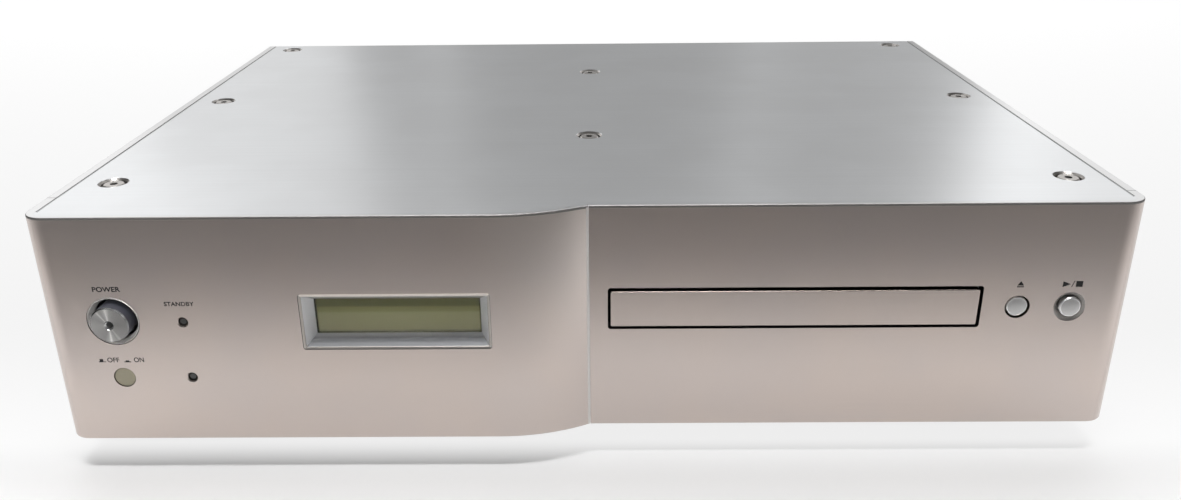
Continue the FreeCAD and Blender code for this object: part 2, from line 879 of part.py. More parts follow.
def centre_beam():
    """A channel from front to back that carries the two middle screws."""
    half = beam_width / 2
    low = plate_bottom - beam_depth
    path = [(-half, low), (-half, plate_bottom), (half, plate_bottom), (half, low), (half - sheet, low),
            (half - sheet, plate_bottom - sheet), (-half + sheet, plate_bottom - sheet), (-half + sheet, low)]
    beam = slab(path, rail_front, rear_inside - seam_gap, "y")
    return with_bosses(beam, [(0.0, y) for y in middle_screw_y])


def base_chassis():
    """The bottom sheet with a raised rear edge, rows of air slots and holes for the feet."""
    base = slab(cabinet_outline(front_wall + seam_gap, side_wall + seam_gap), body_bottom, base_top)
    cuts = []
    columns = [turn * (half_width - side) for turn in (-1, 1) for side in slot_sides]
    for x in columns:
        for k in range(slot_rows):
            y = slot_first_y + k * slot_pitch
            cuts.append(block((x - slot_length / 2, x + slot_length / 2), (y, y + slot_width),
                              (body_bottom - 1, base_top + 1)))
    for x, y in foot_places():
        cuts.append(rod(shank_radius + thread_gap, (x, y, body_bottom - 1), (x, y, base_top + 1)))
    save("base_chassis", base.cut(cuts))


def inner_frame():
    """A folded channel across the whole width behind the front panels."""
    reach = inner_half - frame_end_gap
    path = [(frame_front, base_top), (frame_back + frame_flange, base_top),
            (frame_back + frame_flange, base_top + sheet), (frame_back, base_top + sheet),
            (frame_back, plate_bottom - sheet), (frame_back + frame_flange, plate_bottom - sheet),
            (frame_back + frame_flange, plate_bottom), (frame_front, plate_bottom)]
    frame = slab(path, -reach, reach, "x")
    z = body_bottom + button_z
    rim = holder_rim + holder_clear
    power_at = body_bottom + power_z
    display_at = body_bottom + display_z
    half_w = display_width / 2 - frame_inset_side
    half_h = display_height / 2 - frame_inset_level
    cuts = [tray_opening(frame_front - 1, frame_back + 1),
            block((eject_x - rim, play_x + rim), (frame_front - 1, frame_back + 1), (z - rim, z + rim)),
            rod(power_rod_radius + power_hole_gap, (power_x, frame_front - 1, power_at),
                (power_x, frame_back + 1, power_at)),
            block((display_x - half_w, display_x + half_w), (frame_front - 1, frame_back + 1),
                  (display_at - half_h, display_at + half_h))]
    save("inner_frame", frame.cut(cuts))


def lower_screws():
    """One size of screw holds the feet from below and the loader from above."""
    length = foot_height - pad_proud - foot_seat + base_wall * 2
    screw = socket_screw(head_radius, head_height, shank_radius, length, socket_radius)
    flipped = screw.copy()
    flipped.rotate(Vec(0, 0, 0), Vec(1, 0, 0), 180)
    screws = [placed(flipped, x, y, pad_proud + foot_seat) for x, y in foot_places()]
    screws += [placed(screw, x, y, floor_top) for x, y in loader_post_places()]
    save("lower_screws", Part.makeCompound(screws))


def foot_places():
    return [(side * (half_width - foot_side), y) for side in (-1, 1)
            for y in (foot_front, rear_face - foot_rear)]


def feet():
    """Turned feet, each with a rubber ring underneath."""
    bore = shank_radius + shank_gap
    groove_top = pad_thickness
    inner = pad_inner_radius - pad_clear
    outer = pad_radius + pad_clear
    body = turned([(bore, pad_proud + foot_seat), (foot_hub, pad_proud + foot_seat), (foot_hub, pad_proud),
                   (inner, pad_proud), (inner, groove_top), (outer, groove_top), (outer, pad_proud),
                   (foot_radius - foot_edge, pad_proud), (foot_radius, pad_proud + foot_edge),
                   (foot_radius, foot_height - foot_neck * 2.5),
                   (foot_radius - foot_neck, foot_height - foot_neck * 2),
                   (foot_radius - foot_neck, foot_height), (bore, foot_height)])
    pad = turned([(pad_inner_radius, 0), (pad_radius - pad_edge, 0), (pad_radius, pad_edge),
                  (pad_radius, groove_top), (pad_inner_radius, groove_top)])
    places = foot_places()
    save("feet", Part.makeCompound([placed(body, x, y, 0) for x, y in places]))
    save("foot_pads", Part.makeCompound([placed(pad, x, y, 0) for x, y in places]))


# ---- Display and the left controls

def display():
    z = body_bottom + display_z
    half_w = display_width / 2
    half_h = display_height / 2
    lip_w = half_w - display_lip
    lip_h = half_h - display_lip
    window_w = lip_w - display_slope
    window_h = lip_h - display_slope
    gap = display_clear
    window_back = display_depth + window_thickness
    outer = slab(rounded((display_x - half_w, display_x + half_w), (z - half_h, z + half_h), display_corner),
                 -display_lip_proud, 0, "y")
    sleeve = block((display_x - lip_w + gap, display_x + lip_w - gap), (-close_gap, window_back),
                   (z - lip_h + gap, z + lip_h - gap))
    funnel = funnel_cut(z, lip_w, lip_h, window_w, window_h)
    window_hole = block((display_x - window_w, display_x + window_w),
                        (display_depth - close_gap, window_back + 1), (z - window_h, z + window_h))
    save("display_bezel", joined([outer, sleeve]).cut([funnel, window_hole]))
    window = block((display_x - window_w + gap, display_x + window_w - gap), (display_depth, window_back),
                   (z - window_h + gap, z + window_h - gap))
    save("display_window", window)
    lcd_front = window_back + gap
    lcd = block((display_x - window_w - lcd_rim, display_x + window_w + lcd_rim),
                (lcd_front, lcd_front + lcd_thickness), (z - window_h - lcd_rim, z + window_h + lcd_rim))
    save("display_panel", lcd)
    front = lcd_front + lcd_thickness
    back = front + board_thickness
    half_w = half_w + display_board_rim
    half_h = half_h + display_board_rise
    board = block((display_x - half_w, display_x + half_w), (front, back), (z - half_h, z + half_h))
    post_w = half_w - display_post_inset
    post_h = half_h - display_post_inset
    spacers = [rod(display_post, (display_x + side_x * post_w, back, z + side_z * post_h),
                   (display_x + side_x * post_w, frame_front, z + side_z * post_h))
               for side_x in (-1, 1) for side_z in (-1, 1)]
    save("display_board", joined([board] + spacers))


def funnel_cut(z, wide, high, narrow, low):
    """The slanted recess in front of the window."""
    front = [Vec(display_x + sx * wide, -display_lip_proud - 0.01, z + sz * high)
             for sx, sz in ((-1, -1), (1, -1), (1, 1), (-1, 1))]
    back = [Vec(display_x + sx * narrow, display_depth, z + sz * low)
            for sx, sz in ((-1, -1), (1, -1), (1, 1), (-1, 1))]
    wires = [Part.makePolygon(points + points[:1]) for points in (front, back)]
    return Part.makeLoft(wires, True, True)


def power_control():
    z = body_bottom + power_z
    outer = power_hole_radius - close_gap
    flange_front = front_wall + collar_gap
    flange = outer + ring_flange_width
    ring = turned([(outer - ring_edge, 0), (outer, ring_ease), (outer, flange_front), (flange, flange_front),
                   (flange, flange_front + ring_flange), (power_bore_radius, flange_front + ring_flange),
                   (power_bore_radius, power_dish_depth)],
                  power_x, 0, z, "y")
    save("power_ring", ring)
    tip = power_radius
    shoulder = front_wall + power_flange
    rod_end = frame_back + power_rod_length
    dimple_curve = (dimple_radius ** 2 + dimple_depth ** 2) / (2 * dimple_depth)
    dimple = -power_proud + dimple_depth
    button = turned([(0, dimple), (dimple_radius, -power_proud, 0, dimple - dimple_curve),
                     (tip - power_edge, -power_proud), (tip, -power_proud + power_edge), (tip, shoulder),
                     (power_rod_radius, shoulder), (power_rod_radius, rod_end), (0, rod_end)],
                    power_x, 0, z, "y")
    save("power_button", button)
    back = frame_back + switch_length
    body = block((power_x - switch_half, power_x + switch_half), (frame_back, back),
                 (z - switch_half_height, z + switch_half_height))
    hole = rod(power_rod_radius + power_rod_gap, (power_x, frame_back - 1, z),
               (power_x, rod_end + power_travel + power_rod_room, z))
    pins = []
    half = switch_pin_width / 2
    for k in (-1, 0, 1):
        x = power_x + k * switch_pin_pitch
        pins.append(block((x - half, x + half), (back, back + switch_pin_length),
                          (z - switch_pin_half_height, z + switch_pin_half_height)))
    save("power_switch", joined([body] + pins).cut(hole))


def indicators():
    collar = front_wall + collar_gap
    guide_back = frame_front - board_thickness - indicator_room
    guides = []
    for at in indicator_z:
        z = body_bottom + at
        r = indicator_radius - guide_gap
        rim = r + indicator_flange
        guides.append(turned([(0, guide_recess), (r - guide_edge, guide_recess),
                              (r, guide_recess + guide_edge), (r, collar), (rim, collar), (rim, guide_back),
                              (0, guide_back)], indicator_x, 0, z, "y"))
    save("indicator_guides", Part.makeCompound(guides))
    z = body_bottom + receiver_z
    r = receiver_radius
    back = collar + receiver_collar
    window = turned([(0, receiver_recess), (r - receiver_edge, receiver_recess),
                     (r, receiver_recess + receiver_edge), (r, collar), (r + receiver_flange, collar),
                     (r + receiver_flange, back), (0, back)], receiver_x, 0, z, "y")
    save("receiver_window", window)
    low = body_bottom + indicator_z[1]
    high = body_bottom + indicator_z[0]
    rim = indicator_board_rim
    left = receiver_x - receiver_board_rim
    front = frame_front - board_thickness
    path = [(left, low - rim), (indicator_board_end, low - rim), (indicator_board_end, high + rim),
            (indicator_x - rim, high + rim), (indicator_x - rim, low + rim), (left, low + rim)]
    board = slab(path, front, frame_front, "y")
    parts = [block((indicator_x - lamp_half, indicator_x + lamp_half), (front - lamp_height, front),
                   (z - lamp_half, z + lamp_half)) for z in (low, high)]
    parts.append(block((receiver_x - sensor_half, receiver_x + sensor_half), (front - sensor_height, front),
                       (z - sensor_half, z + sensor_half)))
    save("indicator_board", joined([board] + parts))


# ---- Right buttons

def right_buttons():
    z = body_bottom + button_z
    face = front_step
    holder_front = right_back + holder_gap
    guide_end = holder_front + tube_length
    key_front = guide_end + key_room
    board_front = key_front + key_switch_height
    r = button_radius
    stop = guide_end + stop_gap - face
    stop_back = stop + stop_thickness
    for name, x, proud in (("eject_button", eject_x, eject_proud), ("play_button", play_x, play_proud)):
        button = turned([(0, -proud), (r - button_edge, -proud), (r, -proud + button_edge), (r, stop),
                         (r + stop_flange, stop), (r + stop_flange, stop_back), (plunger_radius, stop_back),
                         (plunger_radius, stop_back + plunger_length), (0, stop_back + plunger_length)],
                        x, face, z, "y")
        save(name, button)
    rim = holder_rim
    plate = block((eject_x - rim, play_x + rim), (holder_front, holder_front + holder_sheet),
                  (z - rim, z + rim))
    places = (eject_x, play_x)
    tubes = [rod(r + tube_wall, (x, holder_front, z), (x, guide_end, z)) for x in places]
    posts = [rod(holder_post_radius, (x, holder_front, z + dz), (x, board_front, z + dz))
             for x in (eject_x - holder_post_inset, play_x + holder_post_inset)
             for dz in (-holder_post_inset, holder_post_inset)]
    bores = [rod(r + slide_gap, (x, holder_front - 1, z), (x, guide_end + 1, z)) for x in places]
    save("button_holder", joined([plate] + tubes + posts).cut(bores))
    rim = key_board_rim
    board = block((eject_x - rim, play_x + rim), (board_front, board_front + board_thickness),
                  (z - rim, z + rim))
    switches = []
    for x in places:
        switches.append(block((x - key_half, x + key_half), (key_front + key_plunger, board_front),
                              (z - key_half, z + key_half)))
        switches.append(rod(key_cap_radius, (x, key_front, z), (x, key_front + key_plunger + fuse_thin, z)))
    save("key_board", joined([board] + switches))


# ---- Disc tray

door_z = body_bottom + tray_z
door_back = front_step + door_thickness
disc_y = front_step + disc_setback
tray_top = door_z + tray_rise
well_z = tray_top - well_depth
tray_bottom = well_z - small_well_depth - tray_floor
tray_back = door_back + tray_length
tray_half = tray_width / 2
floor_top = tray_bottom - gear_room
floor_bottom = floor_top - loader_floor
wall_inner = tray_half + runner_width + runner_gap
wall_outer = wall_inner + loader_wall
wall_top = tray_top + loader_rise
loader_front = frame_back + loader_gap
loader_back = loader_front + loader_length


def tray_door():
    half_w = opening_width / 2 - door_gap
    half_h = opening_height / 2 - door_gap
    radius = opening_corner
    b = door_bevel
    path = rounded((tray_x - half_w, tray_x + half_w), (door_z - half_h, door_z + half_h), radius)
    inside = rounded((tray_x - half_w + b, tray_x + half_w - b), (door_z - half_h + b, door_z + half_h - b),
                     max(radius - b, 0.2))
    plate = slab(path, front_step + b, door_back, "y")
    wires = []
    for points, y in ((inside, front_step), (path, front_step + b)):
        face = outline(points)
        face.rotate(Vec(0, 0, 0), Vec(1, 0, 0), 90)
        face.translate(Vec(0, y, 0))
        wires.append(face.OuterWire)
    save("tray_door", joined([Part.makeLoft(wires, True, True), plate]))


def spur(module, teeth, low, high, toward, space=False):
    """A spur gear of involute teeth with one tooth, or one space, pointing at the angle toward."""
    pitch = module * teeth / 2
    pressure = math.radians(pressure_angle)
    base = pitch * math.cos(pressure)
    tip = pitch + addendum * module
    root = pitch - dedendum * module
    involute = math.tan(pressure) - pressure
    half_tooth = math.pi / teeth / 2 - backlash / 2 / pitch / 2
    start = math.radians(toward) + (math.pi / teeth if space else 0)
    points = []
    for k in range(teeth):
        middle = start + 2 * math.pi * k / teeth
        flank = []
        for radius in (max(base, root + 0.05 * module), (pitch + base) / 2 + 0.1 * module, tip):
            angle = math.acos(min(base / radius, 1))
            flank.append((radius, half_tooth + involute - (math.tan(angle) - angle)))
        steps = [(root, -flank[0][1] - root_ease)] + [(r, -a) for r, a in flank]
        steps = steps + [(r, a) for r, a in reversed(flank)] + [(root, flank[0][1] + root_ease)]
        points += [(r * math.cos(middle + a), r * math.sin(middle + a)) for r, a in steps]
    return slab(points, low, high)


def rack(module, x, y, reach, low, high, back):
    """Teeth that face +x on the pitch line x, with a space at y and teeth both ways up to reach."""
    pitch = math.pi * module
    half = pitch / 4 - backlash / 4
    lean = math.tan(math.radians(pressure_angle))
    tip = addendum * module
    root = dedendum * module
    first = math.ceil((reach[0] - y) / pitch - 0.5)
    last = math.floor((reach[1] - y) / pitch - 0.5)
    points = [(x - back, reach[0]), (x - root, reach[0])]
    for k in range(first, last):
        middle = y + (k + 0.5) * pitch
        points += [(x - root, middle - half - root * lean), (x + tip, middle - half + tip * lean),
                   (x + tip, middle + half - tip * lean), (x - root, middle + half + root * lean)]
    points += [(x - root, reach[1]), (x - back, reach[1])]
    return slab(points, low, high)


rack_x = tray_x - tray_half + rack_inset
drive_x = rack_x + rack_module * drive_pinion_teeth / 2
pulley_x = drive_x + wheel_module * (drive_wheel_teeth + pulley_pinion_teeth) / 2
pulley_low = floor_top + pulley_lift
pulley_high = pulley_low + pulley_height
pulley_middle = (pulley_low + pulley_high) / 2
wheel_low = pulley_high + wheel_gap
wheel_high = wheel_low + wheel_height
rack_low = wheel_high + pinion_gap
rack_high = rack_low + pinion_height


def disc_tray():
    left = tray_x - tray_half
    right = tray_x + tray_half
    shoulder = tray_back - tray_chamfer
    rim = slab([(left, door_back), (right, door_back), (right, shoulder), (right - tray_chamfer, tray_back),
                (left + tray_chamfer, tray_back), (left, shoulder)], tray_bottom, tray_top)
    centre = (tray_x, disc_y)
    small_z = well_z - small_well_depth
    cuts = [cone(well_radius, well_radius + well_lean, centre + (well_z,), centre + (tray_top,)),
            cone(small_well_radius, small_well_radius + small_well_lean, centre + (small_z,),
                 centre + (well_z,)),
            rod(hub_slot / 2, centre + (tray_bottom - 1,), centre + (tray_top + 1,)),
            block((tray_x - hub_slot / 2, tray_x + hub_slot / 2), (disc_y, tray_back + 1),
                  (tray_bottom - 1, tray_top + 1))]
    pocket = (disc_y + well_radius + pocket_gap, tray_back - pocket_back)
    for side in (-1, 1):
        x = tray_x + side * (well_radius + finger_out)
        y = disc_y - finger_front
        cuts.append(rod(finger_radius, (x, y, well_z - finger_depth), (x, y, tray_top + 1)))
        inner = tray_x + side * (hub_slot / 2 + pocket_side)
        outer = tray_x + side * (tray_half - pocket_side)
        cuts.append(block(sorted((inner, outer)), pocket, (well_z, tray_top + 1)))
    low = tray_bottom - tray_rib_height
    high = tray_bottom + runner_height
    front = door_back + tray_rib
    ribs = [block((left, left + tray_rib), (door_back, shoulder), (low, tray_bottom)),
            block((right - tray_rib, right), (door_back, shoulder), (low, tray_bottom)),
            block((left, right), (door_back, front), (low, tray_bottom)),
            block((left - runner_width, left + fuse_sink), (front, shoulder), (tray_bottom, high)),
            block((right - fuse_sink, right + runner_width), (front, shoulder), (tray_bottom, high))]
    reach = (drive_gear_y - rack_before, drive_gear_y + tray_travel + rack_after)
    teeth = rack(rack_module, rack_x, drive_gear_y, reach, rack_low, tray_bottom + fuse_thin, rack_back)
    save("disc_tray", joined([rim.cut(cuts), teeth] + ribs))


# ---- Loader

def loader_chassis():
    left = tray_x - wall_outer
    right = tray_x + wall_outer
    floor = block((left, right), (loader_front, loader_back), (floor_bottom, floor_top))
    walls = [block((left, tray_x - wall_inner), (loader_front, loader_back), (floor_bottom, wall_top)),
             block((tray_x + wall_inner, right), (loader_front, loader_back), (floor_bottom, wall_top)),
             block((left, right), (loader_back - loader_wall, loader_back), (floor_bottom, wall_top))]
    ledge_top = tray_bottom - run_gap
    hook_low = tray_bottom + runner_height + run_gap
    hooks = (loader_front + hook_front, bridge_low - hook_before, bridge_high + hook_after,
             loader_back - hook_rear)
    for side in (-1, 1):
        x = sorted((tray_x + side * (tray_half + ledge_gap), tray_x + side * (wall_inner + fuse_thin)))
        walls.append(block(x, (loader_front, loader_back - loader_wall),
                           (ledge_top - ledge_thickness, ledge_top)))
        for y in hooks:
            walls.append(block(x, (y, y + hook_length), (hook_low, hook_low + ledge_thickness)))
        walls.append(pivot_block(side))
    cuts = [block((traverse_x0 - traverse_room, traverse_x1 + traverse_room),
                  (slider_y - slider_thickness / 2, traverse_back_y + traverse_room),
                  (floor_bottom - 1, floor_top + 1)),
            rod(motor_neck + motor_neck_gap, (motor_x, drive_gear_y, floor_bottom - 1),
                (motor_x, drive_gear_y, floor_top + 1))]
    posts = [rod(post_radius, (x, drive_gear_y, floor_top - 1), (x, drive_gear_y, high + post_rise))
             for x, high in ((drive_x, rack_high), (pulley_x, wheel_high))]
    for x in slider_guides:
        posts.append(slider_guide(x))
    for x, y in loader_post_places():
        cuts.append(rod(shank_radius + thread_gap, (x, y, floor_bottom - 1), (x, y, floor_top + 1)))
    reach = pivot_length + pivot_block_width
    low = pivot_y - pivot_block_half - 1
    high = pivot_y + pivot_block_half + 1
    pins = [rod(pivot_radius + bearing_gap, (x - reach, pivot_y, pivot_z), (x + reach, pivot_y, pivot_z))
            for x in (traverse_x0, traverse_x1)]
    bores = [pin.common(block((pin.BoundBox.XMin, pin.BoundBox.XMax), (low, high),
                              (floor_bottom, tray_bottom))) for pin in pins]
    save("loader_chassis", joined([floor] + walls + posts).cut(cuts + bores))


traverse_x0 = tray_x - traverse_left
traverse_x1 = tray_x + traverse_right
plate_low = floor_top + traverse_lift
plate_high = plate_low + traverse_sheet
pivot_z = (plate_low + plate_high) / 2
bridge_low = disc_y - bridge_width / 2
bridge_high = disc_y + bridge_width / 2
slider_y = traverse_front_y - slider_front
slider_middle_y = slider_y + slider_thickness / 2
motor_x = pulley_x + belt_span
pin_drop = (pivot_y - slider_middle_y) * math.sin(math.radians(traverse_drop))
slider_low = pivot_z - pin_drop - slider_rise
slider_guides = (tray_x + guide_side, tray_x + slider_half - guide_inset)


def pivot_block(side):
    """A bearing on the loader's floor for the traverse's pivot pin."""
    inner = (traverse_x0 - traverse_room) if side < 0 else (traverse_x1 + traverse_room)
    half = pivot_block_half
    return block(sorted((inner, inner + side * pivot_block_width)), (pivot_y - half, pivot_y + half),
                 (floor_top - fuse_sink, pivot_z + half))


def slider_guide(x):
    """A hook on the loader's floor that holds the foot of the lift slider down."""
    low = floor_top + run_gap + slider_foot_height + run_gap
    front = slider_y - slider_foot - run_gap
    across = (x - guide_half, x + guide_half)
    post = block(across, (front - guide_half, front), (floor_top - fuse_sink, low + guide_lip))
    lip = block(across, (front - fuse_sink, slider_y - 1), (low, low + guide_lip))
    return post.fuse(lip)


def lift_slider():
    """An angle with a slanted slot; sliding to the right it lowers the front of the traverse."""
    across = (tray_x - slider_half, tray_x + slider_half)
    plate = block(across, (slider_y, slider_y + slider_thickness), (slider_low, pivot_z + slider_rise))
    foot = block(across, (slider_y - slider_foot, slider_y + fuse_sink),
                 (floor_top + run_gap, floor_top + run_gap + slider_foot_height))
    r = pivot_radius + slider_gap
    run = slider_travel
    length = math.hypot(run, pin_drop)
    nx = pin_drop / length * r
    nz = -run / length * r
    a = (tray_x, pivot_z)
    b = (tray_x - run, pivot_z - pin_drop)
    tip_a = (a[0] + run / length * r, a[1] + pin_drop / length * r)
    tip_b = (b[0] - run / length * r, b[1] - pin_drop / length * r)
    path = [(a[0] + nx, a[1] + nz), tip_a + a, (a[0] - nx, a[1] - nz) + a,
            (b[0] - nx, b[1] - nz), tip_b + b, (b[0] + nx, b[1] + nz) + b]
    slot = slab(path, slider_y - 1, slider_y + slider_thickness + 1, "y")
    save("lift_slider", joined([plate, foot]).cut(slot))


def loader_post_places():
    return [(tray_x + sx * (wall_outer - loader_post_side), y) for sx in (-1, 1)
            for y in (rail_front + loader_post_front, loader_back - loader_post_rear)]


def loader_bushes():
    """A rubber bush between each tall post and the loader's floor."""
    top = floor_bottom - bush_height
    bushes = []
    for x, y in loader_post_places():
        bore = shank_radius + thread_gap
        ring = turned([(bore, 0), (bush_radius, 0), (bush_radius, bush_collar), (bush_waist, bush_height / 2),
                       (bush_radius, bush_height - bush_collar), (bush_radius, bush_height),
                       (bore, bush_height)], x, y, top)
        bushes.append(ring)
    save("loader_bushes", Part.makeCompound(bushes))


def bored(solid, x, y, radius):
    return solid.cut(rod(radius + bearing_gap, (x, y, floor_bottom), (x, y, tray_top)))


def loading_gears():
    y = drive_gear_y
    wheel = spur(wheel_module, drive_wheel_teeth, wheel_low, wheel_high, 0)
    pinion = spur(rack_module, drive_pinion_teeth, rack_low, rack_high, 180)
    hub = rod(gear_hub, (0, 0, floor_top + hub_lift), (0, 0, rack_low + fuse_sink))
    gear = placed(joined([wheel, pinion, hub]), drive_x, y, 0)
    save("drive_gear", bored(gear, drive_x, y, post_radius))
    small = spur(wheel_module, pulley_pinion_teeth, pulley_high - fuse_sink, wheel_high, 180, True)
    rim = turned([(0, pulley_low)] + belt_groove(pulley_radius, pulley_radius - belt_thickness - belt_gap)
                 + [(0, pulley_high)])
    pulley = placed(joined([rim, small]), pulley_x, y, 0)
    save("pulley_gear", bored(pulley, pulley_x, y, post_radius))


def belt_groove(radius, groove):
    """The rim of a pulley from its lower to its upper edge, with the groove that the belt runs in."""
    half = belt_height / 2 + belt_gap
    return [(radius, pulley_low), (radius, pulley_middle - half), (groove, pulley_middle - half),
            (groove, pulley_middle + half), (radius, pulley_middle + half), (radius, pulley_high)]


def motor_can(radius, height, seat, neck, neck_top):
    """A motor's body below its seat, with a round neck that stands up from it."""
    low = seat - height
    return [(0, low), (radius - can_edge, low), (radius, low + can_edge), (radius, seat), (neck, seat),
            (neck, neck_top), (0, neck_top)]


def loading_motor():
    y = drive_gear_y
    can = turned(motor_can(loading_can_radius, loading_can_height, floor_bottom, motor_neck,
                           floor_top - neck_drop), motor_x, y, 0)
    shaft = motor_shaft_radius
    low = floor_bottom - shaft_depth
    save("loading_motor", can.cut(rod(shaft + bearing_gap, (motor_x, y, low - shaft_room),
                                      (motor_x, y, floor_top + 1))))
    groove = motor_pulley_radius - belt_thickness + belt_gap
    pulley = turned([(0, low), (shaft, low), (shaft, pulley_low)] + belt_groove(motor_pulley_radius, groove)
                    + [(0, pulley_high)], motor_x, y, 0)
    save("motor_pulley", pulley)
    big = pulley_radius - belt_thickness
    small = groove + belt_gap
    outer = belt_loop(big + belt_thickness, small + belt_thickness)
    inner = belt_loop(big, small)
    low = pulley_middle - belt_height / 2
    belt = slab(outer, low, low + belt_height).cut(slab(inner, low - 1, low + belt_height + 1))
    save("loading_belt", belt)


def belt_loop(big, small):
    """The path round both pulleys: two tangent runs and the arcs that join them."""
    y = drive_gear_y
    lean = math.acos((big - small) / belt_span)
    c = math.cos(lean)
    s = math.sin(lean)
    far = math.radians(127)    # two points on the far side of the big pulley
    x = pulley_x + big * math.cos(far)
    return [(pulley_x + big * c, y - big * s), (motor_x + small * c, y - small * s),
            (motor_x + small, y, motor_x, y), (motor_x + small * c, y + small * s, motor_x, y),
            (pulley_x + big * c, y + big * s), (x, y + big * math.sin(far), pulley_x, y),
            (x, y - big * math.sin(far), pulley_x, y), (pulley_x + big * c, y - big * s, pulley_x, y)]


def clamp():
    z = wall_top + bridge_rise - bridge_sheet
    left = tray_x - wall_outer
    right = tray_x + wall_outer
    path = [(left, wall_top), (left + loader_wall, wall_top), (left + loader_wall, z),
            (right - loader_wall, z), (right - loader_wall, wall_top), (right, wall_top),
            (right, z + bridge_sheet), (left, z + bridge_sheet)]
    bridge = slab(path, bridge_low, bridge_high, "y")
    hole = rod(bridge_hole_radius, (tray_x, disc_y, z - 1), (tray_x, disc_y, z + bridge_sheet + 1))
    save("clamp_bridge", bridge.cut(hole))
    low = well_z + disc_lift + puck_lift
    seat = z + bridge_sheet + puck_gap
    top = seat + puck_flange
    bore = hub_radius + puck_bore_gap
    edge = puck_edge
    puck = turned([(0, low + puck_bore_depth), (bore, low + puck_bore_depth), (bore, low),
                   (puck_radius - edge, low), (puck_radius, low + edge), (puck_radius, seat),
                   (puck_flange_radius, seat), (puck_flange_radius, top - edge / 2),
                   (puck_flange_radius - edge / 2, top), (puck_dish + edge, top), (puck_dish, top - edge),
                   (0, top - edge)], tray_x, disc_y, 0)
    save("clamp_puck", puck)


# ---- Traverse

def traverse_plate():
    plate = slab(rounded((traverse_x0, traverse_x1), (traverse_front_y, traverse_back_y), traverse_corner),
                 plate_low, plate_high)
    window_back = lens_y + sled_travel + sled_window_room
    cuts = [block((tray_x - sled_window_half, tray_x + sled_window_half),
                  (disc_y + sled_window_start, window_back), (plate_low - 1, plate_high + 1))]
    for x, y in ((tray_x, disc_y), (sled_x, sled_motor_y)):
        cuts.append(rod(neck_hole_radius, (x, y, plate_low - 1), (x, y, plate_high + 1)))
    pins = [rod(pivot_radius, (tray_x, slider_y - pin_end, pivot_z), (tray_x, traverse_front_y + 1, pivot_z)),
            rod(pivot_radius, (traverse_x0 - pivot_length, pivot_y, pivot_z),
                (traverse_x0 + pivot_root, pivot_y, pivot_z)),
            rod(pivot_radius, (traverse_x1 - pivot_root, pivot_y, pivot_z),
                (traverse_x1 + pivot_length, pivot_y, pivot_z))]
    ears = []
    holes = []
    for x in (tray_x - rod_offset, tray_x + rod_offset):
        for y in (rod_y0, rod_y1 - ear_depth):
            ears.append(block((x - ear_half, x + ear_half), (y, y + ear_depth),
                              (plate_high - fuse_thin, guide_z + ear_rise)))
        holes.append(rod(rod_radius + press_gap, (x, rod_y0 - 1, guide_z), (x, rod_y1 + 1, guide_z)))
    post = rod(sled_post_radius, (sled_x, sled_gear_y, plate_low + fuse_thin),
               (sled_x, sled_gear_y, sled_rack_high + fuse_thin))
    save("traverse_plate", joined([plate.cut(cuts), post] + pins + ears).cut(holes))


guide_z = plate_high + guide_lift
rod_y0 = disc_y + rod_start
rod_y1 = pivot_y - rod_rear
sled_front = disc_y + sled_start
sled_back = sled_front + sled_length
sled_rack_x = tray_x + rack_reach
sled_x = sled_rack_x + sled_module * sled_pinion_teeth / 2
sled_gear_y = disc_y + sled_gear_back
sled_motor_y = sled_gear_y + sled_wheel_module * (sled_wheel_teeth + motor_pinion_teeth) / 2
sled_wheel_low = plate_high + sled_wheel_lift
sled_wheel_high = sled_wheel_low + sled_wheel_height
sled_rack_low = guide_z + arm_rise
sled_rack_high = sled_rack_low + sled_rack_height
lens_y = disc_y + lens_start


def guide_rods():
    rods = [rod(rod_radius, (x, rod_y0, guide_z), (x, rod_y1, guide_z))
            for x in (tray_x - rod_offset, tray_x + rod_offset)]
    save("guide_rods", Part.makeCompound(rods))


def spindle():
    low = plate_low - spindle_motor_height
    neck_top = plate_high + neck_rise
    can = turned(motor_can(spindle_motor_radius, spindle_motor_height, plate_low, spindle_neck, neck_top),
                 tray_x, disc_y, 0)
    shaft_end = low + shaft_lift
    bore = rod(spindle_radius + bearing_gap, (tray_x, disc_y, shaft_end - shaft_gap),
               (tray_x, disc_y, plate_high + 2))
    save("spindle_motor", can.cut(bore))
    seat = well_z + disc_lift
    stem = neck_top + stem_gap
    under = seat - turntable_edge
    table = turned([(0, shaft_end), (spindle_radius, shaft_end), (spindle_radius, stem),
                    (turntable_stem, stem),
                    (turntable_stem, under - turntable_lean), (turntable_radius, under),
                    (turntable_radius, seat), (hub_radius, seat), (hub_radius - hub_lean, seat + hub_height),
                    (0, seat + hub_height)], tray_x, disc_y, 0)
    save("turntable", table)


